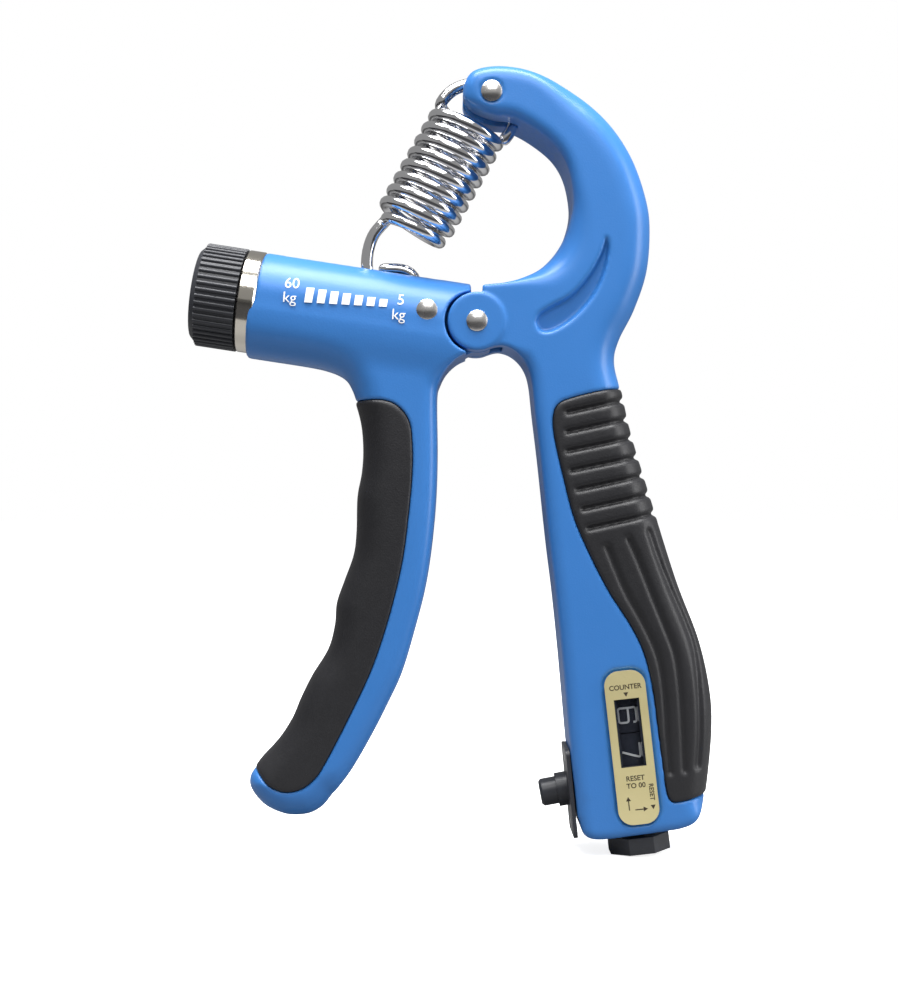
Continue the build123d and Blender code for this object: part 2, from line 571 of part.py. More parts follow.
with BuildPart() as plunger_return_spring:
    room = GUIDE_HIGH - WALL - PLUNGER_HEAD
    coil_wire(PLUNGER.offset(PLUNGER_HEAD + RETURN_WIRE_R), RETURN_COIL_R, RETURN_WIRE_R,
              room - 2 * RETURN_WIRE_R, RETURN_COILS)
save(plunger_return_spring, "plunger_return_spring")

with BuildPart() as ratchet_wheel:
    with BuildSketch(AXLE.offset(RATCHET_LOW)):
        Circle(RATCHET_R - TOOTH + 0.1)
        with PolarLocations(RATCHET_R - TOOTH, RATCHET_TEETH):
            Polygon((0, -TOOTH), (TOOTH, TOOTH), (0, TOOTH), align=None)
        Circle(AXLE_R + RUN, mode=Mode.SUBTRACT)
    extrude(amount=RATCHET_L)
save(ratchet_wheel, "ratchet_wheel")

for name, low in (("units_wheel", UNITS_LOW), ("tens_wheel", TENS_LOW)):
    rim_in, bore, high = WHEEL_R - RIM_T, AXLE_R + RUN, low + WHEEL_L
    web_low = (low + high - WEB_T) / 2
    web_high = web_low + WEB_T
    with BuildPart() as number_wheel:
        turned(AXLE, [(bore, low), (HUB_R, low), (HUB_R, web_low), (rim_in, web_low),
                      (rim_in, low), (WHEEL_R, low), (WHEEL_R, high), (rim_in, high),
                      (rim_in, web_high), (HUB_R, web_high), (HUB_R, high), (bore, high)])
    save(number_wheel, name)

with BuildPart() as counter_axle:
    rod(AXLE, AXLE_R, AXLE_END, CASE_HIGH)
save(counter_axle, "counter_axle")

with BuildPart() as reset_knob:
    rod(AXLE, NECK_R, RESET_TOP, AXLE_END)
    with BuildSketch(AXLE.offset(RESET_LOW)):
        RegularPolygon(radius=RESET_R, side_count=RESET_SIDES, rotation=180 / RESET_SIDES)
    extrude(amount=RESET_TOP - RESET_LOW)
save(reset_knob, "reset_knob")
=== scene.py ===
"""Looks of the hand grip strengthener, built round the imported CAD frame.

Shapes are worked out in millimetres from the hinge pin's axis: x to the palm handle, y to the
back, z up. The two arms and their grips are solids given by distance fields, meshed here.
"""
import json
import math

import bmesh
import bpy
import numpy as np
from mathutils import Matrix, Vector


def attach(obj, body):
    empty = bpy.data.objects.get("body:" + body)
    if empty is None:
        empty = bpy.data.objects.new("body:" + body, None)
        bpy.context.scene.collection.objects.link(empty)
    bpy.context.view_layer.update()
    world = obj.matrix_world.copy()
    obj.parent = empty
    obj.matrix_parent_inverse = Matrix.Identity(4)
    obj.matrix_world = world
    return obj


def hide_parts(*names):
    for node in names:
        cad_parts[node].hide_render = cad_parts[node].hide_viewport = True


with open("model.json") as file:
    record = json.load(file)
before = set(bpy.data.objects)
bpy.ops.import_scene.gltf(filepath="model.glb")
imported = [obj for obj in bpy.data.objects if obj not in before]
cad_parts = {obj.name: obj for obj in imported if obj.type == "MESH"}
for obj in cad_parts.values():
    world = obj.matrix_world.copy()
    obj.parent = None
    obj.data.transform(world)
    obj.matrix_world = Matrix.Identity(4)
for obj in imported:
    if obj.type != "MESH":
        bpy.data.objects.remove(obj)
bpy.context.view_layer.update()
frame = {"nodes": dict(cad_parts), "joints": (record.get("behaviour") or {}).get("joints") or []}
JOINTS = {joint["name"]: joint for joint in frame["joints"]}
PIVOT = Vector(JOINTS["squeeze"]["pos_m"])

# ---- sizes (mm) --------------------------------
MM = 0.001
STEP = 0.42                    # grid pitch of the meshed solids
FAR = 200                      # well outside any part, to close an outline
HALF, FINGER_HALF = 10.0, 9.8  # half thickness of the palm arm and the finger arm
GRIP_PROUD = 0.25              # how far the soft grips stand above the plastic
GRIP_DEPTH = 1.3               # how far they reach below it

# Hinge: cheeks of the palm arm round a tongue of the finger arm, and the gap above it.
KNUCKLE_R, RECESS_R, SLOT_R = 6.0, 6.6, 7.2
TONGUE_HALF, CHEEK_IN = 4.5, 5.0
GAP_LEFT, GAP_RIGHT = -1.1, 1.2

# Barrel: its frame starts at the mouth and points to the knob.
BARREL_TILT = math.radians(8.7)
MOUTH = (-45.3, 4.7)
BARREL_R, BORE_R, BORE_DEPTH = 10.6, 9.0, 30.0
BARREL_U = (-math.cos(BARREL_TILT), math.sin(BARREL_TILT))
BARREL_N = (math.sin(BARREL_TILT), math.cos(BARREL_TILT))
SLOT_HALF = 1.7                # half width of the slot that the spring's hook runs in
SLOT_MIDDLE, SLOT_REACH, SLOT_FLOOR = 20.3, 16.3, 4.5
POCKET_MIDDLE, POCKET_REACH, POCKET_FLOOR = 18.2, 14.2, 2.8

# Pins of the spring and of the lead screw, and the fork and seats round the upper one.
ANCHOR = (3.0, 47.0)
HOOKED_AT = (-18.5, 7.4)
RETAINER = (-10.2, 2.2)
FORK_ACROSS, FORK_BACK, FORK_HALF = 7.4, 4.4, 1.8
SINK_R, SINK_DEPTH = 2.45, 0.7

# Counter label, its seat and window, and the space for the works behind them.
HANDLE_TILT = math.radians(6.4)
LABEL_AT = (31.6, -87.1)
LABEL_SIZE = (8.5, 31.6)
SEAT_GAP, SEAT_DEPTH, SEAT_CORNER = 0.4, 0.9, 3.4
WINDOW_SIZE, WINDOW_UP, WINDOW_GAP = (5.2, 14.0), 3.0, 0.2
WORKS_HALF, WORKS_DOWN, WORKS_Y = (7.7, 14.0, 7.95), 2.65, -1.0
AXLE_Y, WHEEL_R = -1.4, 6.6

# ---- outlines, (x, z) from the hinge pin -------
BOW_OUTSIDE = [(-2.9, 46.4), (-2.5, 49.4), (-0.5, 51.9), (4.2, 52.8), (10.2, 52.1), (16.1, 50.0),
               (22.6, 46.0), (28.2, 40.6), (32.5, 33.7), (35.3, 25.4), (36.0, 19.0), (35.3, 10.6),
               (32.7, 2.8), (29.6, -3.4), (28.6, -8.0), (29.9, -14.0), (31.9, -23.0),
               (36.0, -36.6), (41.2, -53.2), (45.9, -65.6), (48.2, -76.0), (48.6, -84.2),
               (47.7, -94.6), (46.8, -99.4), (45.0, -102.5), (42.2, -103.9), (38.1, -104.6)]
SOLE = [(38.1, -104.6), (31.0, -105.6), (25.8, -106.2), (23.2, -106.0), (21.6, -104.9),
        (20.9, -102.8)]
SHAFT_INSIDE = [(22.2, -113.0), (20.9, -102.8), (20.2, -96.1), (19.2, -87.6), (17.5, -68.5),
                (16.2, -55.7), (14.9, -45.1), (13.2, -29.0), (12.0, -19.0), (11.2, -12.0),
                (10.0, -8.6), (7.9, -6.1), (5.2, -5.0), (2.8, -5.3)]
BOW_INSIDE = [(1.2, 7.5), (5.9, 8.0), (9.6, 9.2), (13.4, 11.4), (16.8, 15.2), (18.9, 19.6),
              (19.9, 24.9), (18.9, 31.2), (16.4, 35.8), (12.2, 39.4), (7.5, 42.0), (3.4, 42.6),
              (-0.6, 44.2), (-2.9, 46.4)]

FINGER_SIDE = [(-60.0, -3.9), (-46.0, -6.1), (-35.2, -7.8), (-30.6, -9.1), (-27.6, -11.0),
               (-25.9, -13.6), (-24.9, -16.4), (-23.7, -21.0), (-23.3, -26.2), (-23.6, -31.0),
               (-24.5, -36.0), (-24.7, -43.0), (-25.3, -48.0), (-27.3, -53.6), (-28.8, -58.0),
               (-29.2, -62.5), (-30.6, -67.6), (-33.9, -73.0), (-36.2, -77.6), (-38.2, -82.2),
               (-41.4, -87.0), (-45.2, -91.2), (-47.0, -94.0), (-46.6, -96.7), (-43.8, -99.9),
               (-39.8, -101.7), (-36.4, -101.9), (-33.8, -101.3), (-31.4, -99.7), (-29.6, -97.9)]
INNER_SIDE = [(-34.4, -106.0), (-30.0, -98.3), (-25.8, -92.6), (-21.8, -85.8), (-18.3, -79.0),
              (-15.1, -72.0), (-12.2, -62.2), (-10.4, -54.8), (-9.1, -46.4), (-8.2, -36.6),
              (-7.9, -27.0), (-8.0, -15.6), (-7.5, -12.4), (-6.3, -9.8), (-4.4, -7.8), (-2.2, -6.6),
              (-0.2, -6.1), (9.0, -6.0)]

FINGER_GRIP_EDGE = [(-34.0, -16.6), (-26.0, -16.2), (-19.4, -16.1), (-16.0, -17.5), (-13.8, -20.6),
                    (-13.2, -25.0), (-13.2, -31.0), (-14.0, -40.0), (-15.4, -50.0), (-18.1, -61.0),
                    (-21.6, -71.4), (-26.4, -81.6), (-31.2, -90.8), (-33.4, -93.9), (-36.2, -95.9),
                    (-39.6, -96.4), (-42.8, -95.0), (-46.0, -92.0), (-52.0, -89.0)]
PALM_GRIP_EDGE = [(40.0, -11.6), (31.0, -13.4), (25.5, -14.2), (19.4, -15.7), (16.7, -16.9),
                  (15.6, -19.3), (15.8, -23.6), (17.8, -32.5), (19.9, -40.4), (22.9, -47.4),
                  (26.9, -55.2), (31.6, -62.6), (34.3, -68.4), (36.1, -76.0), (37.1, -83.5),
                  (38.0, -90.2), (38.8, -96.0), (39.7, -98.1), (41.4, -98.3), (46.0, -97.4),
                  (56.0, -95.6)]
CRESCENT = [(26.6, 17.2), (26.9, 14.0), (25.7, 9.0), (23.2, 4.4), (19.4, 0.4), (15.6, -1.9),
            (13.3, -2.1), (12.2, -0.4), (12.8, 1.4), (15.2, 3.0), (19.4, 5.4), (23.0, 9.4),
            (25.4, 13.6)]
LONG_GROOVES = [[(26.6, -46.2), (30.2, -54.9), (33.2, -60.3), (35.8, -65.4), (37.4, -70.1),
                 (38.4, -76.7), (38.9, -84.5), (39.5, -92.2)],
                [(31.0, -44.5), (33.2, -49.5), (35.8, -56.1), (38.5, -62.8), (40.4, -67.8),
                 (41.4, -74.0), (42.0, -81.8), (42.4, -91.9)],
                [(35.3, -43.0), (37.3, -48.9), (40.0, -55.5), (42.7, -61.7), (44.6, -67.6),
                 (45.4, -76.0), (45.6, -84.0), (45.2, -91.0)]]


# ---- plane geometry ----------------------------
def smooth(points, spacing=0.5):
    """Catmull-Rom curve through the points, sampled about every half millimetre."""
    p = np.array(points, float)
    p = np.vstack([2 * p[0] - p[1], p, 2 * p[-1] - p[-2]])
    run = []
    for a, b, c, d in zip(p, p[1:], p[2:], p[3:]):
        count = max(2, int(np.linalg.norm(c - b) / spacing))
        t = np.linspace(0, 1, count, endpoint=False)[:, None]
        run.append(0.5 * (2 * b + (c - a) * t + (2 * a - 5 * b + 4 * c - d) * t ** 2
                          + (3 * b - a - 3 * c + d) * t ** 3))
    return np.vstack(run + [p[-2][None]])


def distance_to_line(line, x, z):
    """Distance from each point to an open polyline."""
    best = np.full(x.shape, 1e9)
    for a, b in zip(line, line[1:]):
        ab = b - a
        t = np.clip(((x - a[0]) * ab[0] + (z - a[1]) * ab[1]) / max(ab @ ab, 1e-12), 0, 1)
        best = np.minimum(best, (x - a[0] - t * ab[0]) ** 2 + (z - a[1] - t * ab[1]) ** 2)
    return np.sqrt(best)


def signed(polygon, line, x, z):
    """Distance to the line, negative inside the polygon that it bounds."""
    inside = np.zeros(x.shape, bool)
    for a, b in zip(polygon, np.roll(polygon, -1, axis=0)):
        if a[1] == b[1]:
            continue
        spans = (a[1] > z) != (b[1] > z)
        inside ^= spans & (x < (b[0] - a[0]) * (z - a[1]) / (b[1] - a[1]) + a[0])
    return np.where(inside, -1, 1) * distance_to_line(line, x, z)


def side_region(points, closing, x, z):
    """Signed distance to a curved side; closing points far off say which way is inside."""
    line = smooth(points)
    return signed(np.vstack([line, np.array(closing, float)]), line, x, z)


def island(points, x, z):
    """Signed distance to a closed smooth outline."""
    line = smooth(points + points[:1])
    return signed(line[:-1], line, x, z)


def ramp(value, low, high):
    """0 below low, 1 above high, smooth between."""
    t = np.clip((value - low) / (high - low), 0, 1)
    return t * t * (3 - 2 * t)


# ---- solid fields ------------------------------
def rounded(side, face, radius):
    """Corner between a side wall and a face, rounded; both are distances, negative inside."""
    u = side + radius
    v = face + radius
    return np.minimum(np.maximum(u, v), 0) + np.hypot(np.maximum(u, 0), np.maximum(v, 0)) - radius


def both(a, b, blend=0.6):
    """Intersection with a small rounding."""
    h = np.clip(0.5 - 0.5 * (b - a) / blend, 0, 1)
    return b + (a - b) * h + blend * h * (1 - h)


def either(a, b, blend=0.6):
    """Union with a fillet."""
    return -both(-a, -b, blend)


class Grid:
    """Regular grid of points round a part, in millimetres from the hinge pin."""

    def __init__(self, low, high):
        self.low = np.array(low, float)
        counts = [int((b - a) / STEP) + 2 for a, b in zip(low, high)]
        axes = [a + STEP * np.arange(n) for a, n in zip(low, counts)]
        self.x2, self.z2 = np.meshgrid(axes[0], axes[2], indexing="ij")
        self.x, self.y, self.z = np.meshgrid(*axes, indexing="ij", sparse=True)

    def deep(self, flat):
        """A field over (x, z) made constant through the thickness."""
        return flat[:, None, :]


def sample(grid, p):
    """Trilinear value of a grid at fractional positions."""
    base = np.clip(np.floor(p).astype(int), 0, np.array(grid.shape) - 2)
    f = p - base
    total = 0
    for corner in np.ndindex(2, 2, 2):
        weight = np.prod(np.where(np.array(corner) == 1, f, 1 - f), axis=1)
        i, j, k = (base + corner).T
        total = total + weight * grid[i, j, k]
    return total


def mesh_field(field):
    """Surface net of a field's zero level: vertices in grid units, and quads facing out."""
    inside = field < 0
    size = np.array(field.shape) - 1
    corners = list(np.ndindex(2, 2, 2))

    def shifted(a, c):
        return a[c[0]:c[0] + size[0], c[1]:c[1] + size[1], c[2]:c[2] + size[2]]

    filled = sum(shifted(inside, c).astype(np.int8) for c in corners)
    cells = (filled > 0) & (filled < 8)
    index = np.full(cells.shape, -1)
    index[cells] = np.arange(cells.sum())
    values = np.stack([shifted(field, c)[cells] for c in corners], axis=1)
    total = np.zeros((len(values), 3))
    hits = np.zeros((len(values), 1))
    for a in range(8):
        for b in range(a + 1, 8):
            ca, cb = np.array(corners[a]), np.array(corners[b])
            if abs(ca - cb).sum() != 1:
                continue
            va, vb = values[:, a], values[:, b]
            crossed = ((va < 0) != (vb < 0))[:, None]
            t = np.where(crossed[:, 0], va / np.where(va == vb, 1, va - vb), 0)[:, None]
            total += crossed * (ca + (cb - ca) * t)
            hits += crossed
    points = np.argwhere(cells) + total / hits
    quads = []
    for axis in range(3):
        lower = np.moveaxis(inside, (axis, (axis + 1) % 3, (axis + 2) % 3), (0, 1, 2))
        table = np.moveaxis(index, (axis, (axis + 1) % 3, (axis + 2) % 3), (0, 1, 2))
        near, far = lower[:-1, 1:-1, 1:-1], lower[1:, 1:-1, 1:-1]
        i, j, k = np.nonzero(near != far)
        ring = np.stack([table[i, j, k], table[i, j + 1, k], table[i, j + 1, k + 1],
                         table[i, j, k + 1]], axis=1)
        flip = far[i, j, k]
        ring[flip] = ring[flip][:, ::-1]
        quads.append(ring)
    return points, np.vstack(quads)


def settle(points, quads, field, rounds=3):
    """Evens the net out and moves its vertices onto the field's zero level."""
    slopes = np.gradient(field)
    for _ in range(rounds):
        middle = points[quads].mean(axis=1)
        total = np.zeros_like(points)
        count = np.zeros(len(points))
        for corner in range(4):
            np.add.at(total, quads[:, corner], middle)
            np.add.at(count, quads[:, corner], 1)
        points = total / count[:, None]
        for _ in range(2):
            slope = np.stack([sample(g, points) for g in slopes], axis=1)
            steep = np.maximum((slope ** 2).sum(axis=1, keepdims=True), 0.05)
            points = points - np.clip(sample(field, points)[:, None] * slope / steep, -0.5, 0.5)
    return points


def link(mesh, name, body, *replaced):
    """Puts a mesh in the scene as a piece that rides on a body."""
    piece = bpy.data.objects.new(name, mesh)
    bpy.context.scene.collection.objects.link(piece)
    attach(piece, body)
    if replaced:
        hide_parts(*replaced)
    return piece


def to_row(points):
    """Millimetres from the hinge pin to metres in the row frame."""
    return np.asarray(points, float) * MM + np.array(PIVOT)


def mesh_of(name, points, faces):
    """Smooth-shaded mesh from points in millimetres from the hinge pin."""
    mesh = bpy.data.meshes.new(name)
    mesh.from_pydata(to_row(points).tolist(), [], [list(map(int, f)) for f in faces])
    mesh.polygons.foreach_set("use_smooth", [True] * len(mesh.polygons))
    mesh.update()
    return mesh


def solid(name, grid, field):
    """Mesh of a field's solid."""
    field = np.ascontiguousarray(np.broadcast_to(field, (grid.x.size, grid.y.size, grid.z.size)))
    points, quads = mesh_field(field)
    points = settle(points, quads, field)
    return mesh_of(name, grid.low + STEP * points, quads)


# ---- materials ---------------------------------
PLASTIC_IOR = 1.46
GRAIN_HEIGHT = 0.0002          # metres


def material(name, colour, other, roughness, scale, bump, metallic=0.0, spread=0.06):
    """Procedural finish: two close colours and a roughness mixed by noise, and a fine grain."""
    made = bpy.data.materials.new(name)
    made.use_nodes = True
    nodes, links = made.node_tree.nodes, made.node_tree.links
    shader = nodes["Principled BSDF"]
    shader.inputs["Metallic"].default_value = metallic
    shader.inputs["IOR"].default_value = PLASTIC_IOR
    place = nodes.new("ShaderNodeTexCoord")

    def noise(size, detail):
        made_noise = nodes.new("ShaderNodeTexNoise")
        made_noise.inputs["Scale"].default_value = size
        made_noise.inputs["Detail"].default_value = detail
        links.new(place.outputs["Object"], made_noise.inputs["Vector"])
        return made_noise

    cloudy = noise(scale * 0.05, 3.0)
    mixing = nodes.new("ShaderNodeMix")
    mixing.data_type = "RGBA"
    mixing.inputs[6].default_value = (*colour, 1)
    mixing.inputs[7].default_value = (*other, 1)
    links.new(cloudy.outputs["Fac"], mixing.inputs[0])
    links.new(mixing.outputs[2], shader.inputs["Base Color"])
    worn = noise(scale * 0.3, 4.0)
    rough = nodes.new("ShaderNodeMapRange")
    rough.inputs["To Min"].default_value = max(roughness - spread, 0.02)
    rough.inputs["To Max"].default_value = roughness + spread
    links.new(worn.outputs["Fac"], rough.inputs["Value"])
    links.new(rough.outputs["Result"], shader.inputs["Roughness"])
    grain = noise(scale, 2.0)
    raised = nodes.new("ShaderNodeBump")
    raised.inputs["Strength"].default_value = bump
    raised.inputs["Distance"].default_value = GRAIN_HEIGHT
    links.new(grain.outputs["Fac"], raised.inputs["Height"])
    links.new(raised.outputs["Normal"], shader.inputs["Normal"])
    return made


BLUE = material("blue_satin", (0.034, 0.175, 0.50), (0.040, 0.187, 0.53), 0.36, 2600, 0.10)
RUBBER = material("grip_tpr", (0.012, 0.012, 0.014), (0.017, 0.017, 0.020), 0.46, 3200, 0.22,
                  spread=0.08)
BLACK = material("black_abs", (0.026, 0.028, 0.034), (0.036, 0.038, 0.046), 0.38, 2400, 0.12)
WHEEL = material("wheel_black", (0.014, 0.017, 0.027), (0.018, 0.022, 0.034), 0.75, 2400, 0.10)
WHEEL.node_tree.nodes["Principled BSDF"].inputs["Specular IOR Level"].default_value = 0.2
CHROME = material("chrome_wire", (0.78, 0.78, 0.80), (0.86, 0.86, 0.87), 0.10, 900, 0.02, metallic=1.0,
                  spread=0.04)
RIVET = material("rivet_nickel", (0.70, 0.68, 0.66), (0.80, 0.78, 0.76), 0.26, 900, 0.03, metallic=1.0)
COLLAR = material("collar_nickel", (0.72, 0.67, 0.58), (0.80, 0.76, 0.68), 0.14, 700, 0.03,
                  metallic=1.0)
STEEL = material("screw_steel", (0.50, 0.50, 0.52), (0.58, 0.58, 0.60), 0.30, 1200, 0.08, metallic=1.0)
BRASS = material("bush_brass", (0.60, 0.42, 0.16), (0.70, 0.50, 0.22), 0.30, 1200, 0.08, metallic=1.0)
LABEL = material("label_gold", (0.72, 0.62, 0.30), (0.88, 0.79, 0.45), 0.38, 1600, 0.15, metallic=0.6)
INK = material("label_ink", (0.035, 0.025, 0.015), (0.05, 0.035, 0.02), 0.5, 900, 0.05)
WHITE = material("print_white", (0.82, 0.84, 0.85), (0.88, 0.89, 0.90), 0.45, 900, 0.05)
DIGIT = material("digit_grey", (0.42, 0.44, 0.47), (0.50, 0.52, 0.55), 0.5, 900, 0.05)
LENS = material("clear_lens", (0.02, 0.02, 0.03), (0.03, 0.03, 0.04), 0.06, 400, 0.01, spread=0.02)
LENS.node_tree.nodes["Principled BSDF"].inputs["Alpha"].default_value = 0.04

CAD_FINISH = {
    BLACK: ["adjusting_knob", "nose_bush", "counter_case", "counter_plate", "plunger_guide",
            "plunger", "drive_pawl", "reset_knob"],
    RIVET: ["pivot_pin", "spring_anchor_pin", "screw_retaining_pin", "hook_pin", "plate_screws",
            "knob_screw", "counter_axle"],
    COLLAR: ["barrel_collar"],
    CHROME: ["plunger_return_spring"],
    STEEL: ["lead_screw", "pivot_washers"],
    BRASS: ["pivot_bush", "traveller_nut"],
    LABEL: ["counter_label"],
    LENS: ["counter_lens"],
    WHEEL: ["units_wheel", "tens_wheel", "ratchet_wheel"],
}
for finish, names in CAD_FINISH.items():
    for node_name in names:
        node = frame["nodes"][node_name]
        node.data.materials.clear()
        node.data.materials.append(finish)


def finished(piece, look):
    """Gives a new piece its material."""
    piece.data.materials.clear()
    piece.data.materials.append(look)
    return piece


# ---- palm arm ----------------------------------
# Rounding of the long edges; an EXTRA is added gradually along its edge.
OUTER_EDGE, HEAD_EXTRA, FOOT_EDGE = 3.8, 2.9, 2.0
SHAFT_EDGE, BOW_EDGE, BOW_EXTRA, HINGE_EDGE = 2.9, 2.1, 4.0, 0.5
CRESCENT_DEPTH = 1.5
NOTCH_UP, NOTCH_HALF = 1.1, 6.4
TONGUE_SLOT_UP, TONGUE_SLOT_HALF = 2.4, 9.8
# Cross grooves: ends of the first, steps to the next, and how many start in line.
CROSS_LEFT, CROSS_RIGHT = (18.5, -18.7), (36.0, -14.85)
CROSS_STEP_LEFT, CROSS_STEP_RIGHT = (1.15, -3.95), (1.05, -3.88)
CROSS_COUNT, CROSS_IN_LINE = 7, 2.2
CROSS_DEPTH, CROSS_W = 0.95, 0.52
LONG_DEPTH, LONG_W = 0.68, 0.60


def label_frame(g):
    """Position across and along the handle, from the label's centre."""
    dx, dz = g.x - LABEL_AT[0], g.z - LABEL_AT[1]
    c, s = math.cos(HANDLE_TILT), math.sin(HANDLE_TILT)
    return dx * c + dz * s, -dx * s + dz * c


def box_field(a, b, half_a, half_b, corner=0.0):
    """Rounded rectangle's distance in two coordinates."""
    u, v = abs(a) - half_a + corner, abs(b) - half_b + corner
    return np.hypot(np.maximum(u, 0), np.maximum(v, 0)) + np.minimum(np.maximum(u, v), 0) - corner


def palm_solid():
    """Grid and outer field of the palm arm, before grips and cut-outs."""
    g = Grid((-8, -11.5, -109.5), (51, 11.5, 56))
    x, z = g.x2, g.z2
    near_pin = np.hypot(x, z)
    outside = side_region(BOW_OUTSIDE + SOLE[1:], [(-FAR, -102.8), (-FAR, 46.6)], x, z)
    inside = side_region(SHAFT_INSIDE, [(-FAR, -5.3), (-FAR, FAR), (FAR, FAR), (FAR, -115)], x, z)
    hollow = side_region(BOW_INSIDE, [(-60, 46.6), (-60, 7.5)], x, z)
    crescent = island(CRESCENT, x, z)
    face = abs(g.y) - HALF + CRESCENT_DEPTH * g.deep(ramp(-crescent, -0.3, 0.4))
    past_head = ramp(np.hypot(x - ANCHOR[0], z - ANCHOR[1]), 7, 18)
    low = ramp(-z, 97, 103)
    outer_r = (OUTER_EDGE + HEAD_EXTRA * past_head) * (1 - low) + FOOT_EDGE * low
    inner_r = np.minimum(HINGE_EDGE + 5.0 * ramp(near_pin, 8, 18), SHAFT_EDGE)
    bow_r = HINGE_EDGE + (BOW_EDGE + BOW_EXTRA * ramp(-z, -30, -12)) * ramp(near_pin, 7, 22)
    shell = rounded(g.deep(outside), face, g.deep(outer_r))
    shaft = rounded(g.deep(inside), face, g.deep(inner_r))
    bow = rounded(g.deep(-hollow), face, g.deep(bow_r))
    notch = np.maximum(x - GAP_RIGHT, abs(z - NOTCH_UP) - NOTCH_HALF)
    arm = both(both(both(shell, shaft, 1.2), bow, 0.8), g.deep(-notch), 0.3)
    knuckle = rounded(g.deep(near_pin) - KNUCKLE_R, abs(g.y) - HALF, HINGE_EDGE)
    return g, either(arm, knuckle, 0.3)


def spring_fork(g):
    """Space that the upper hook turns in, between the two halves of the bow's head."""
    away = np.array(HOOKED_AT) - np.array(ANCHOR)
    away /= np.linalg.norm(away)
    along = (g.x2 - ANCHOR[0]) * away[0] + (g.z2 - ANCHOR[1]) * away[1]
    across = (g.x2 - ANCHOR[0]) * away[1] - (g.z2 - ANCHOR[1]) * away[0]
    fork = np.maximum(abs(across) - FORK_ACROSS, -along - FORK_BACK)
    return np.maximum(g.deep(fork), abs(g.y) - FORK_HALF)


def counter_spaces(g):
    """Seat of the label, the window that the number wheels show through, and the works."""
    a, b = label_frame(g)
    half_w, half_h = WINDOW_SIZE[0] / 2 + WINDOW_GAP, WINDOW_SIZE[1] / 2 + WINDOW_GAP
    seat_w, seat_h = LABEL_SIZE[0] / 2 + SEAT_GAP, LABEL_SIZE[1] / 2 + SEAT_GAP
    seat = np.maximum(box_field(a, b, seat_w, seat_h, SEAT_CORNER), g.y + HALF - SEAT_DEPTH)
    window = np.maximum(box_field(a, b - WINDOW_UP, half_w, half_h), g.y + HALF / 2)
    half_a, half_b, half_y = WORKS_HALF
    works = np.maximum(box_field(a, b + WORKS_DOWN, half_a, half_b), abs(g.y - WORKS_Y) - half_y)
    return np.minimum(np.minimum(seat, window), works)


def palm_grooves(x, z):
    """Depth of the grip's cross grooves and of the long grooves below them."""
    carve = np.zeros_like(x)
    for k in range(CROSS_COUNT):
        start = CROSS_LEFT + np.multiply(CROSS_STEP_LEFT, (max(k - CROSS_IN_LINE, 0), k))
        end = CROSS_RIGHT + np.multiply(CROSS_STEP_RIGHT, k)
        gap = distance_to_line(np.array([start, end]), x, z)
        carve = np.maximum(carve, CROSS_DEPTH * np.exp(-(gap / CROSS_W) ** 2))
    for groove in LONG_GROOVES:
        gap = distance_to_line(smooth(groove, 2.0), x, z)
        carve = np.maximum(carve, LONG_DEPTH * np.exp(-(gap / LONG_W) ** 2))
    return carve


def build_palm_arm():
    """Plastic arm with the bow and the counter's seat, and its soft grip."""
    g, outer = palm_solid()
    grip_edge = side_region(PALM_GRIP_EDGE, [(FAR, -95.6), (FAR, -11.6)], g.x2, g.z2)
    region = g.deep(grip_edge)

    # Plastic arm: it fills the grip's area up to the grip's underside.
    arm = either(both(outer, -region, 0.5), outer + GRIP_DEPTH, 0.3)
    slot = np.maximum(g.deep(np.hypot(g.x2, g.z2)) - SLOT_R, abs(g.y) - CHEEK_IN)
    beside = np.maximum(g.x - GAP_RIGHT, abs(g.z - TONGUE_SLOT_UP) - TONGUE_SLOT_HALF)
    arm = both(arm, -np.minimum(slot, np.maximum(beside, abs(g.y) - CHEEK_IN)), 0.3)
    arm = both(arm, -spring_fork(g), 0.3)
    from_anchor = g.deep(np.hypot(g.x2 - ANCHOR[0], g.z2 - ANCHOR[1]))
    sink = np.maximum(from_anchor - SINK_R, HALF - SINK_DEPTH - abs(g.y))
    arm = both(arm, -sink, 0.25)
    arm = both(arm, -counter_spaces(g), 0.2)
    palm = link(solid("palm_arm", g, arm), "palm_arm", "rear_arm", "rear_arm_body")
    finished(palm, BLUE)

    skin = outer - GRIP_PROUD + g.deep(palm_grooves(g.x2, g.z2))
    grip = both(both(skin, region, 0.7), -(outer + GRIP_DEPTH), 0.2)
    piece = link(solid("palm_grip", g, grip), "palm_grip", "rear_arm", "rear_grip")
    finished(piece, RUBBER)


# ---- finger arm --------------------------------
WAVE_EDGE, INNER_EXTRA, ARCH_EXTRA = 6.6, 3.3, 3.0  # rounding of its long edges
HANDLE_TOP = 3.0  # how far below the barrel's axis the handle starts
BARREL_FILLET = 4.0


def barrel_frame(x, z):
    """Distance along the barrel from its mouth (towards the knob), and up from its axis."""
    dx, dz = x - MOUTH[0], z - MOUTH[1]
    return dx * BARREL_U[0] + dz * BARREL_U[1], dx * BARREL_N[0] + dz * BARREL_N[1]


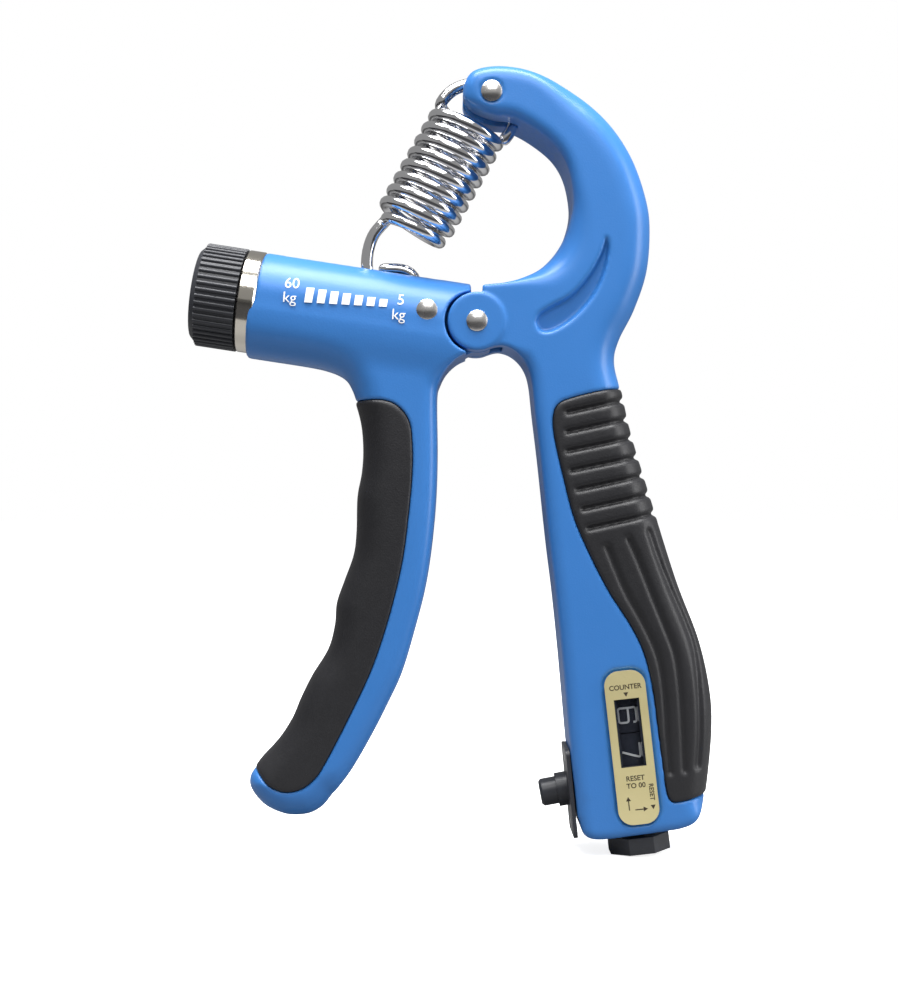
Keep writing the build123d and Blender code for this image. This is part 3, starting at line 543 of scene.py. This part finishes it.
def build_finger_arm():
    """Barrel, hinge tongue and handle in one, and its soft grip."""
    g = Grid((-50.5, -12, -104), (3, 12, 18.5))
    x, z = g.x2, g.z2
    near_pin = np.hypot(x, z)
    s, n = barrel_frame(x, z)
    outside = side_region(FINGER_SIDE, [(FAR, -97.9), (FAR, 60), (-60, 60)], x, z)
    inside = side_region(INNER_SIDE, [(9, FAR), (-FAR, FAR), (-FAR, -106)], x, z)
    face = abs(g.y) - FINGER_HALF
    left = rounded(g.deep(outside), face, WAVE_EDGE)
    inner_r = HINGE_EDGE + INNER_EXTRA * ramp(near_pin, 8, 17)
    right = rounded(g.deep(inside), face, g.deep(inner_r))
    handle = both(both(left, right, 1.0), g.deep(np.maximum(n + HANDLE_TOP, s)), 0.4)
    barrel = both(np.hypot(g.deep(n), g.y) - BARREL_R, g.deep(s), 0.4)
    arch_r = HINGE_EDGE + ARCH_EXTRA * ramp(near_pin, 8, 15)
    arch = rounded(g.deep(inside), abs(g.y) - BARREL_R, g.deep(arch_r))
    outer = either(barrel, handle, BARREL_FILLET)
    outer = both(both(outer, arch, 0.8), g.deep(x - GAP_LEFT), 0.5)
    region = g.deep(side_region(FINGER_GRIP_EDGE, [(-FAR, -89), (-FAR, -16.6)], x, z))

    arm = either(both(outer, -region, 0.5), outer + GRIP_DEPTH, 0.3)
    cheeks = np.maximum(g.deep(near_pin) - RECESS_R, TONGUE_HALF - abs(g.y))
    arm = both(arm, -cheeks, 0.25)
    tongue = np.maximum(g.deep(near_pin) - KNUCKLE_R, abs(g.y) - TONGUE_HALF)
    arm = np.minimum(arm, tongue)
    bore = np.maximum(np.hypot(g.deep(n), g.y) - BORE_R, g.deep(-BORE_DEPTH - s))
    slot = np.maximum(abs(s + SLOT_MIDDLE) - SLOT_REACH, SLOT_FLOOR - n)
    pocket = np.maximum(abs(s + POCKET_MIDDLE) - POCKET_REACH, POCKET_FLOOR - n)
    opening = np.maximum(abs(g.y) - SLOT_HALF, g.deep(np.minimum(slot, pocket)))
    arm = both(arm, -np.minimum(bore, opening), 0.3)
    piece = link(solid("finger_arm", g, arm), "finger_arm", "front_arm", "front_arm_body")
    finished(piece, BLUE)

    skin = outer - GRIP_PROUD
    grip = both(both(skin, region, 0.8), -(outer + GRIP_DEPTH), 0.2)
    piece = link(solid("finger_grip", g, grip), "finger_grip", "front_arm", "front_grip")
    finished(piece, RUBBER)


build_palm_arm()
build_finger_arm()


# ---- tension spring ----------------------------
WIRE_R, TURNS, TURN_POINTS = 1.27, 9, 18
SPRING_LENGTH = math.dist(HOOKED_AT, ANCHOR)
COIL_LOW, COIL_HIGH = (-14.2, 19.6), (-1.1, 42.9)
COIL_R, END_COIL_R, NARROW_TURNS = 7.25, 5.4, 1.1
COIL_START, COIL_END = 12.8, 39.4  # the stretch that grows, from the lower pin
LOW_HOOK = [(-19.3, 11.9), (-16.8, 11.9), (-14.7, 11.5), (-13.2, 10.3), (-12.9, 8.2), (-14.6, 5.9),
            (-17.3, 4.9), (-19.8, 5.3), (-21.6, 7.0), (-22.5, 9.4), (-22.9, 12.0), (-22.9, 14.4),
            (-22.4, 17.0), (-21.3, 19.5)]
HIGH_HOOK = [(-6.8, 47.7), (-4.9, 49.5), (-2.2, 50.6), (0.6, 50.9), (3.4, 50.3), (5.8, 48.9),
             (7.4, 46.5), (8.0, 43.8), (7.4, 41.3), (6.0, 39.2)]


def along_spring(points):
    """Points (x, y, z) from the hinge pin, given across, behind and along the line of pins."""
    run = (np.array(ANCHOR) - np.array(HOOKED_AT)) / SPRING_LENGTH
    d = np.array(points, float) - np.array([HOOKED_AT[0], 0, HOOKED_AT[1]])
    return np.stack([d[:, 0] * run[1] - d[:, 2] * run[0], d[:, 1],
                     d[:, 0] * run[0] + d[:, 2] * run[1]], axis=1)


def spring_route():
    """Centreline of the wire: lower hook, coil and upper hook."""
    low, high = np.array(COIL_LOW), np.array(COIL_HIGH)
    run = (high - low) / np.linalg.norm(high - low)
    out = np.array([run[1], -run[0]])
    coil = []
    for i in range(TURNS * TURN_POINTS + 1):
        t = i / (TURNS * TURN_POINTS)
        angle = math.pi + 2 * math.pi * TURNS * t
        radius = COIL_R - (COIL_R - END_COIL_R) * max(0.0, 1 - t * TURNS / NARROW_TURNS) ** 2
        centre = low + (high - low) * t
        x, z = centre + radius * math.cos(angle) * out
        coil.append((x, radius * math.sin(angle), z))
    hooks = [[(x, 0.0, z) for x, z in hook] for hook in (LOW_HOOK, HIGH_HOOK)]
    return along_spring(hooks[0] + coil + hooks[1])


def tube(route, radius, sides=14):
    """Round tube along a smooth route, with rounded ends."""
    line = smooth(route, 0.9)
    tangent = np.gradient(line, axis=0)
    tangent /= np.linalg.norm(tangent, axis=1)[:, None]
    side = np.cross(tangent[0], (0.3, 0.9, 0.1))
    side /= np.linalg.norm(side)
    angles = np.linspace(0, 2 * math.pi, sides, endpoint=False)
    rings = []
    ends = [(0.92, 0.35), (0.6, 0.8)]
    for i, (centre, t) in enumerate(zip(line, tangent)):
        side = side - t * (side @ t)
        side /= np.linalg.norm(side)
        rim = np.cos(angles)[:, None] * side + np.sin(angles)[:, None] * np.cross(t, side)
        if i == 0:
            rings += [centre - t * radius * past + rim * radius * width for past, width in ends]
        rings.append(centre + rim * radius)
        if i == len(line) - 1:
            rings += [centre + t * radius * past + rim * radius * width for past, width in ends[::-1]]
    points = np.vstack(rings)
    faces = []
    for r in range(len(rings) - 1):
        for k in range(sides):
            a, b = r * sides + k, r * sides + (k + 1) % sides
            faces.append((a, b, b + sides, a + sides))
    faces.append(tuple(range(sides))[::-1])
    faces.append(tuple(len(points) - sides + k for k in range(sides)))
    return points, faces


def guide(name, point, body):
    """Empty that marks a pin's centre on a body."""
    mark = bpy.data.objects.new(name, None)
    mark.empty_display_size = 0.002
    mark.location = Vector(to_row((point[0], 0.0, point[1])))
    bpy.context.scene.collection.objects.link(mark)
    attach(mark, body)
    return mark


class NodeMaker:
    """Short ways to add a geometry tree's nodes; each returns the new node's result."""

    def __init__(self, tree):
        self.nodes, self.links = tree.nodes, tree.links

    def feed(self, socket, value):
        """Links a socket to an output, or sets it to a plain value."""
        if isinstance(value, bpy.types.NodeSocket):
            self.links.new(value, socket)
        else:
            socket.default_value = value

    def vector(self, operation, *inputs, result=0):
        """Vector Math."""
        node = self.nodes.new("ShaderNodeVectorMath")
        node.operation = operation
        for socket, value in zip(node.inputs, inputs):
            self.feed(socket, value)
        return node.outputs[result]

    def scaled(self, direction, amount):
        """A vector times a number."""
        node = self.nodes.new("ShaderNodeVectorMath")
        node.operation = "SCALE"
        self.feed(node.inputs[0], direction)
        self.feed(node.inputs["Scale"], amount)
        return node.outputs[0]

    def number(self, operation, *inputs):
        """Math."""
        node = self.nodes.new("ShaderNodeMath")
        node.operation = operation
        for socket, value in zip(node.inputs, inputs):
            self.feed(socket, value)
        return node.outputs[0]

    def place_of(self, mark):
        """Where an object is, as the piece sees it."""
        info = self.nodes.new("GeometryNodeObjectInfo")
        info.transform_space = "RELATIVE"
        info.inputs["Object"].default_value = mark
        return info.outputs["Location"]


def aim_modifier(piece, low, high):
    """Keeps both hooks on their pins: the wire turns with them and only the coil stretches."""
    tree = bpy.data.node_groups.new("spring_between_pins", "GeometryNodeTree")
    tree.interface.new_socket("Geometry", in_out="INPUT", socket_type="NodeSocketGeometry")
    tree.interface.new_socket("Geometry", in_out="OUTPUT", socket_type="NodeSocketGeometry")
    source, result = tree.nodes.new("NodeGroupInput"), tree.nodes.new("NodeGroupOutput")
    make = NodeMaker(tree)
    start, end = make.place_of(low), make.place_of(high)
    span = make.vector("SUBTRACT", end, start)
    axis = make.vector("NORMALIZE", span)
    length = make.vector("LENGTH", span, result="Value")
    across = make.vector("NORMALIZE", make.vector("CROSS_PRODUCT", (0.0, 1.0, 0.0), axis))

    # The wire's own coordinates: across, behind and along the line of the pins.
    own = tree.nodes.new("ShaderNodeSeparateXYZ")
    make.feed(own.inputs[0], tree.nodes.new("GeometryNodeInputPosition").outputs[0])
    zone = tree.nodes.new("ShaderNodeMapRange")
    zone.inputs["From Min"].default_value = COIL_START * MM
    zone.inputs["From Max"].default_value = COIL_END * MM
    make.feed(zone.inputs["Value"], own.outputs["Z"])
    growth = make.number("SUBTRACT", length, SPRING_LENGTH * MM)
    along = make.number("MULTIPLY_ADD", growth, zone.outputs["Result"], own.outputs["Z"])
    depth = tree.nodes.new("ShaderNodeCombineXYZ")
    make.feed(depth.inputs["Y"], own.outputs["Y"])
    place = make.vector("ADD", start, make.scaled(across, own.outputs["X"]))
    place = make.vector("ADD", place, make.scaled(axis, along))
    place = make.vector("ADD", place, depth.outputs[0])
    mover = tree.nodes.new("GeometryNodeSetPosition")
    make.feed(mover.inputs["Geometry"], source.outputs[0])
    make.feed(mover.inputs["Position"], place)
    make.feed(result.inputs[0], mover.outputs[0])
    modifier = piece.modifiers.new("between_pins", "NODES")
    modifier.node_group = tree


def build_spring():
    """The visible spring, and marks on the two pins that its hooks hold."""
    points, faces = tube(spring_route(), WIRE_R)
    mesh = bpy.data.meshes.new("coil_spring")
    mesh.from_pydata((points * MM).tolist(), [], faces)
    mesh.polygons.foreach_set("use_smooth", [True] * len(mesh.polygons))
    low = guide("traveller_pin_guide", HOOKED_AT, "traveller")
    high = guide("anchor_pin_guide", ANCHOR, "rear_arm")
    piece = link(mesh, "coil_spring", "spring", "tension_spring")
    aim_modifier(piece, low, high)
    finished(piece, CHROME)


build_spring()


# ---- rivets ------------------------------------
HEAD_R, HEAD_RIM, HEAD_RISE = 2.15, 0.3, 0.9
RIVET_SIDES, DOME_RINGS = 64, 12
# Name, CAD pin that it replaces, centre, shank radius, half length between the heads, body.
RIVETS = [("hinge_rivet", "pivot_pin", (0.0, 0.0), 1.8, 9.9, "rear_arm"),
          ("spring_rivet", "spring_anchor_pin", ANCHOR, 1.8, 9.4, "rear_arm"),
          ("screw_rivet", "screw_retaining_pin", RETAINER, 1.4, 10.0, "front_arm")]


def rivet_profile(shank, half):
    """(radius, height) points of a rivet, from one domed head to the other."""
    rise = HEAD_RISE - HEAD_RIM
    dome_r = (HEAD_R ** 2 + rise ** 2) / (2 * rise)
    radii = [HEAD_R * math.sin(k * math.pi / 2 / DOME_RINGS) for k in range(1, DOME_RINGS + 1)]
    end = [(r, half + HEAD_RISE - dome_r + math.sqrt(dome_r ** 2 - r * r)) for r in radii]
    end += [(HEAD_R, half), (shank, half)]
    return end + [(r, -h) for r, h in end[::-1]]


def build_rivets():
    """Finely turned rivets with domed heads, on the three cross pins."""
    turn = [2 * math.pi * k / RIVET_SIDES for k in range(RIVET_SIDES)]
    beside = [(k, (k + 1) % RIVET_SIDES) for k in range(RIVET_SIDES)]
    for name, node, (x, z), shank, half, body in RIVETS:
        profile = rivet_profile(shank, half)
        points = [(x, -half - HEAD_RISE, z)]
        for r, h in profile:
            points += [(x + r * math.cos(angle), -h, z + r * math.sin(angle)) for angle in turn]
        points.append((x, half + HEAD_RISE, z))
        faces = [(0, 1 + a, 1 + b) for a, b in beside]
        for ring in range(len(profile) - 1):
            low = 1 + ring * RIVET_SIDES
            high = low + RIVET_SIDES
            faces += [(low + a, high + a, high + b, low + b) for a, b in beside]
        last = 1 + (len(profile) - 1) * RIVET_SIDES
        faces += [(last + b, last + a, len(points) - 1) for a, b in beside]
        mesh = mesh_of(name, points, faces)
        mesh.set_sharp_from_angle(angle=math.radians(40))
        finished(link(mesh, name, body, node), RIVET)


build_rivets()


# ---- printed marks and numerals ----------------
FONT_SIZE = 1.37               # size of the font for capitals of height 1
LABEL_WEIGHT = 0.025           # how much the label's letters are thickened
MASK_W, MASK_SUNK = 0.48, 0.5  # black borders of the window, and how deep they lie
DIGIT_HALF = (1.5, 1.85)
STROKE = 0.21                  # half width of a numeral's strokes
# Strokes of each numeral, on a square from -1 to 1.
DIGITS = {0: [[(-1, 0), (-1, 1), (1, 1), (1, -1), (-1, -1), (-1, 0)]],
          1: [[(-0.5, 0.5), (0.1, 1), (0.1, -1)]],
          2: [[(-1, 0.6), (-1, 1), (1, 1), (1, 0.2), (-1, -1), (1, -1)]],
          3: [[(-1, 1), (1, 1), (0, 0.1), (1, 0.1), (1, -1), (-1, -1), (-1, -0.6)]],
          4: [[(0.4, -1), (0.4, 1), (-1, -0.4), (1, -0.4)]],
          5: [[(1, 1), (-0.9, 1), (-0.9, 0.1), (1, 0.1), (1, -1), (-1, -1)]],
          6: [[(1, 0.6), (1, 1), (-1, 1), (-1, -1), (1, -1), (1, 0.1), (-0.9, 0.1)]],
          7: [[(-1, 1), (1, 1), (0.1, -1)]],
          8: [[(-1, 0), (-1, 1), (1, 1), (1, 0), (1, -1), (-1, -1), (-1, 0)], [(-0.9, 0), (0.9, 0)]],
          9: [[(-1, -0.6), (-1, -1), (1, -1), (1, 1), (-1, 1), (-1, -0.1), (0.9, -0.1)]]}
# Force scale: its bars, from left to right, and its texts.
BAR_COUNT, BAR_START, BAR_STEP = 7, (-35.2, 3.66), (2.53, -0.135)
BAR_W, BAR_DROP, BAR_TALL, BAR_SHRINK = 1.6, 0.08, 3.1, 0.25
SCALE_TEXTS = [("60", -37.7, 7.6), ("kg", -38.2, 4.6), ("5", -15.5, 4.2), ("kg", -16.0, 1.1)]
# Number wheels: name, value at rest, lower and upper end from the label's centre.
NUMBER_WHEELS = [("tens", 6, 2.85, 9.95), ("units", 7, -4.5, 2.6)]


def glyphs(text, height, weight=0.0):
    """Flat outline mesh of a text, centred, as points in millimetres and faces."""
    curve = bpy.data.curves.new("text", "FONT")
    curve.body = text
    curve.size = height * FONT_SIZE
    curve.align_x = "CENTER"
    curve.align_y = "CENTER"
    curve.resolution_u = 4
    curve.offset = weight
    holder = bpy.data.objects.new("text", curve)
    bpy.context.scene.collection.objects.link(holder)
    bpy.context.view_layer.update()
    graph = bpy.context.evaluated_depsgraph_get()
    flat = bpy.data.meshes.new_from_object(holder.evaluated_get(graph))
    points = [tuple(v.co) for v in flat.vertices]
    faces = [tuple(p.vertices) for p in flat.polygons]
    bpy.data.objects.remove(holder)
    bpy.data.meshes.remove(flat)
    return points, faces


def decal(name, shapes, place, thickness, body, look):
    """Thin closed print: each flat shape is laid on a surface by place(u, v, height)."""
    built = bmesh.new()
    for points, faces in shapes:
        verts = [built.verts.new((u, v, 0)) for u, v, *_ in points]
        for face in faces:
            built.faces.new([verts[i] for i in face])
    bmesh.ops.remove_doubles(built, verts=built.verts, dist=1e-4)
    for _ in range(3):
        bmesh.ops.triangulate(built, faces=built.faces)
        long = [e for e in built.edges if e.calc_length() > 0.8]
        bmesh.ops.subdivide_edges(built, edges=long, cuts=1)
    bmesh.ops.triangulate(built, faces=built.faces)
    top = bmesh.ops.extrude_face_region(built, geom=list(built.faces))
    for item in top["geom"]:
        if isinstance(item, bmesh.types.BMVert):
            item.co.z = thickness
    for vert in built.verts:
        vert.co = to_row(place(*vert.co))
    bmesh.ops.recalc_face_normals(built, faces=built.faces)
    mesh = bpy.data.meshes.new(name)
    built.to_mesh(mesh)
    built.free()
    return finished(link(mesh, name, body), look)


def moved(shape, u, v, turn=0.0):
    """Flat shape turned (degrees) and moved."""
    c, s = math.cos(math.radians(turn)), math.sin(math.radians(turn))
    points, faces = shape
    return [(u + x * c - y * s, v + x * s + y * c, 0) for x, y, *_ in points], faces


def plate(*corners):
    """Flat polygon."""
    return [(u, v, 0) for u, v in corners], [tuple(range(len(corners)))]


def on_barrel(u, v, height):
    """Point of the barrel's front at (x, z), raised from its surface."""
    up = barrel_frame(u, v)[1]
    return u, -math.sqrt(BARREL_R ** 2 - up * up) - height + 0.04, v


def build_scale():
    """Force scale on the barrel: a row of bars between the two end values."""
    shapes = []
    lean = math.tan(BARREL_TILT)
    for i in range(BAR_COUNT):
        u, v = BAR_START + np.multiply(BAR_STEP, i)
        right, low, tall = u + BAR_W, v - BAR_DROP, BAR_TALL - BAR_SHRINK * i
        shapes.append(plate((u, v), (right, low), (right + lean * tall, low + tall),
                            (u + lean * tall, v + tall)))
    for text, u, v in SCALE_TEXTS:
        shapes.append(moved(glyphs(text, 2.3), u, v, -4))
    decal("force_scale", shapes, on_barrel, 0.10, "front_arm", WHITE)


def in_handle(u, v, y):
    """Point at depth y, u across the handle and v up along it from the label's centre."""
    c, s = math.cos(HANDLE_TILT), math.sin(HANDLE_TILT)
    return LABEL_AT[0] + u * c - v * s, y, LABEL_AT[1] + u * s + v * c


def on_label(u, v, height):
    """Point of the label's face, raised from it."""
    return in_handle(u, v, -HALF - height + 0.01)


def arrow(length):
    """Slim arrow pointing along +u."""
    tip, neck, shaft, barb = length / 2, length / 2 - 0.9, 0.11, 0.5
    return plate((-tip, -shaft), (neck, -shaft), (neck, -barb), (tip, 0), (neck, barb),
                 (neck, shaft), (-tip, shaft))


def build_label_marks():
    """Words, arrows and triangles printed on the label."""
    triangle = plate((-0.5, 0.45), (0, -0.45), (0.5, 0.45))
    shapes = [moved(glyphs("COUNTER", 1.02, LABEL_WEIGHT), 0, 12.4),
              moved(triangle, 0, 10.9),
              moved(glyphs("RESET", 1.05, LABEL_WEIGHT), 0, -6.3),
              moved(glyphs("TO 00", 1.05, LABEL_WEIGHT), 0, -7.8),
              moved(arrow(2.8), -1.9, -11.3, 90),
              moved(arrow(2.6), 0.6, -12.7),
              moved(triangle, 3.0, -12.5),
              moved(glyphs("RESET", 0.95, LABEL_WEIGHT), 3.0, -9.4, -90)]
    decal("label_marks", shapes, on_label, 0.03, "rear_arm", INK)


def build_window_mask():
    """Black borders printed on the lens, which hide the numerals either side."""
    half_w, half_h = WINDOW_SIZE[0] / 2, WINDOW_SIZE[1] / 2
    low, high = WINDOW_UP - half_h, WINDOW_UP + half_h
    strips = []
    for side in (-1, 1):
        edge, inner = side * half_w, side * (half_w - MASK_W)
        strips.append(plate((edge, low), (inner, low), (inner, high), (edge, high)))

    def on_lens(u, v, height):
        return on_label(u, v, height - MASK_SUNK)

    decal("window_mask", strips, on_lens, 0.04, "rear_arm", WHEEL)


def on_wheel(low, high, tenths):
    """Maps a numeral to a number wheel: its top points across the handle, to the right."""
    middle = (low + high) / 2

    def place(u, v, height):
        angle = v / WHEEL_R + tenths * math.radians(36)
        r = WHEEL_R + height - 0.02
        return in_handle(r * math.sin(angle), middle - u, AXLE_Y - r * math.cos(angle))

    return place


def rounded_path(points, radius=0.55):
    """The path with each corner replaced by a short curve."""
    p = [np.array(point, float) for point in points]
    path = [p[0]]
    for before, corner, after in zip(p, p[1:], p[2:]):
        cut = [min(radius, 0.5 * np.linalg.norm(end - corner)) for end in (before, after)]
        enter = corner + (before - corner) * cut[0] / np.linalg.norm(before - corner)
        leave = corner + (after - corner) * cut[1] / np.linalg.norm(after - corner)
        for t in (0, 0.25, 0.5, 0.75, 1):
            path.append(enter * (1 - t) ** 2 + corner * 2 * t * (1 - t) + leave * t * t)
    return path + [p[-1]]


def stroke(points):
    """Even band along a path, as a flat strip."""
    line = np.array(rounded_path([(u * DIGIT_HALF[0], v * DIGIT_HALF[1]) for u, v in points]))
    line = line[np.append(True, np.linalg.norm(np.diff(line, axis=0), axis=1) > 1e-3)]
    run = np.gradient(line, axis=0)
    side = np.stack([-run[:, 1], run[:, 0]], axis=1) / np.linalg.norm(run, axis=1)[:, None]
    edges = np.stack([line + STROKE * side, line - STROKE * side], axis=1).reshape(-1, 2)
    count = len(line)
    return edges.tolist(), [(2 * i, 2 * i + 1, 2 * i + 3, 2 * i + 2) for i in range(count - 1)]


def build_numerals():
    """Ten numerals round each wheel, with the wheel's rest value in the window."""
    for name, rest, low, high in NUMBER_WHEELS:
        for digit, paths in DIGITS.items():
            place = on_wheel(low, high, (rest - digit) % 10)
            decal(f"{name}_numeral_{digit}", [stroke(path) for path in paths], place, 0.06, name,
                  DIGIT)


build_scale()
build_label_marks()
build_window_mask()
build_numerals()


# ---- softened edges on the CAD pieces ----------
for node_name, width in (("reset_knob", 0.5), ("counter_plate", 0.25), ("plunger_guide", 0.2),
                         ("plunger", 0.3), ("barrel_collar", 0.15), ("adjusting_knob", 0.12)):
    bevel = frame["nodes"][node_name].modifiers.new("soft_edges", "BEVEL")
    bevel.width = width * MM
    bevel.segments = 3
    bevel.limit_method = "ANGLE"
    bevel.angle_limit = math.radians(35)


# ---- floor, light and camera -------------------
FLOOR_HALF = 6                 # metres
FLOOR_GLOW, FLOOR_BOUNCE = 0.84, 0.22
SKY_SEEN, SKY_LIGHT = 1.0, 0.30
WHITE_LIGHT = (1, 1, 1, 1)
AIM_AT = Vector((0, 0, 0.09))  # metres
CAMERA_FROM_PIN = Vector((-5.7, -340.0, -37.2))
SENSOR, FOCAL_LENGTH = 36, 57.9
# Soft boxes: name, place (m), size (m), power (W).
LIGHTS = [("overhead", (0.0, -0.10, 0.75), (0.80, 0.35), 13.0),
          ("front", (0.05, -0.42, 0.50), (0.40, 0.25), 1.85),
          ("right", (0.65, -0.14, 0.18), (0.25, 0.70), 3.4)]
# Dark cards that only reflections see: name, low and high corner (m).
CARDS = [("front_card", (-0.7, -1.0, 0.002), (0.7, -0.11, 0.002)),
         ("left_card", (-0.45, -0.5, 0.0), (-0.45, 0.2, 0.16))]


def build_cards():
    """Dark sheets that give the bright metal its black bands."""
    dark = material("card_black", (0.01, 0.01, 0.012), (0.015, 0.015, 0.017), 0.9, 40, 0.0)
    for name, low, high in CARDS:
        (x0, y0, z0), (x1, y1, z1) = low, high
        corners = [(x0, y0, z0), (x1, y0, z0), (x1, y1, z1), (x0, y1, z1)]
        if x0 == x1:
            corners = [(x0, y0, z0), (x0, y1, z0), (x0, y1, z1), (x0, y0, z1)]
        mesh = bpy.data.meshes.new(name)
        mesh.from_pydata(corners, [], [(0, 1, 2, 3)])
        mesh.materials.append(dark)
        card = bpy.data.objects.new(name, mesh)
        bpy.context.scene.collection.objects.link(card)
        card.visible_camera = False
        card.visible_diffuse = False
        card.visible_shadow = False
        card.visible_transmission = False


def camera_only(tree, seen, otherwise):
    """Shader that the camera sees as one thing and the lighting as another."""
    mixing, rays = tree.nodes.new("ShaderNodeMixShader"), tree.nodes.new("ShaderNodeLightPath")
    tree.links.new(rays.outputs["Is Camera Ray"], mixing.inputs["Fac"])
    tree.links.new(otherwise, mixing.inputs[1])
    tree.links.new(seen, mixing.inputs[2])
    return mixing.outputs["Shader"]


def build_floor():
    """Pale floor that the camera sees as white, and that bounces little light."""
    floor = bpy.data.meshes.new("floor")
    a = FLOOR_HALF
    floor.from_pydata([(-a, -a, 0), (a, -a, 0), (a, a, 0), (-a, a, 0)], [], [(0, 1, 2, 3)])
    ground = bpy.data.objects.new("floor", floor)
    bpy.context.scene.collection.objects.link(ground)
    pale = material("floor_pale", (0.80, 0.80, 0.80), (0.82, 0.82, 0.82), 0.8, 40, 0.0)
    tree = pale.node_tree
    glow, sum_up = tree.nodes.new("ShaderNodeEmission"), tree.nodes.new("ShaderNodeAddShader")
    glow.inputs["Color"].default_value = WHITE_LIGHT
    glow.inputs["Strength"].default_value = FLOOR_GLOW
    dim = tree.nodes.new("ShaderNodeBsdfDiffuse")
    dim.inputs["Color"].default_value = (FLOOR_BOUNCE, FLOOR_BOUNCE, FLOOR_BOUNCE, 1)
    tree.links.new(tree.nodes["Principled BSDF"].outputs["BSDF"], sum_up.inputs[0])
    tree.links.new(glow.outputs["Emission"], sum_up.inputs[1])
    tree.links.new(camera_only(tree, sum_up.outputs["Shader"], dim.outputs["BSDF"]),
                   tree.nodes["Material Output"].inputs["Surface"])
    floor.materials.append(pale)


def build_world():
    """White surroundings, which light the tool less than they show."""
    world = bpy.data.worlds.new("studio")
    world.use_nodes = True
    tree = world.node_tree
    seen, lighting = tree.nodes["Background"], tree.nodes.new("ShaderNodeBackground")
    seen.inputs["Color"].default_value = WHITE_LIGHT
    seen.inputs["Strength"].default_value = SKY_SEEN
    lighting.inputs["Color"].default_value = WHITE_LIGHT
    lighting.inputs["Strength"].default_value = SKY_LIGHT
    tree.links.new(camera_only(tree, seen.outputs["Background"], lighting.outputs["Background"]),
                   tree.nodes["World Output"].inputs["Surface"])
    bpy.context.scene.world = world


def build_lights():
    """Soft boxes that face the tool."""
    for name, spot, size, power in LIGHTS:
        light = bpy.data.lights.new(name, "AREA")
        light.shape = "RECTANGLE"
        light.size, light.size_y = size
        light.energy = power
        lamp = bpy.data.objects.new(name, light)
        lamp.location = spot
        lamp.rotation_euler = (AIM_AT - lamp.location).to_track_quat("-Z", "Y").to_euler()
        bpy.context.scene.collection.objects.link(lamp)


def build_camera():
    """Level camera in front of the tool, at the height of its middle."""
    camera = bpy.data.cameras.new("camera")
    camera.sensor_width = SENSOR
    camera.lens = FOCAL_LENGTH
    holder = bpy.data.objects.new("camera", camera)
    holder.location = PIVOT + MM * CAMERA_FROM_PIN
    holder.rotation_euler = (math.radians(90), 0, 0)
    bpy.context.scene.collection.objects.link(holder)
    bpy.context.scene.camera = holder


build_floor()
build_world()
build_lights()
build_cards()
build_camera()
bpy.context.scene.view_settings.view_transform = "Standard"
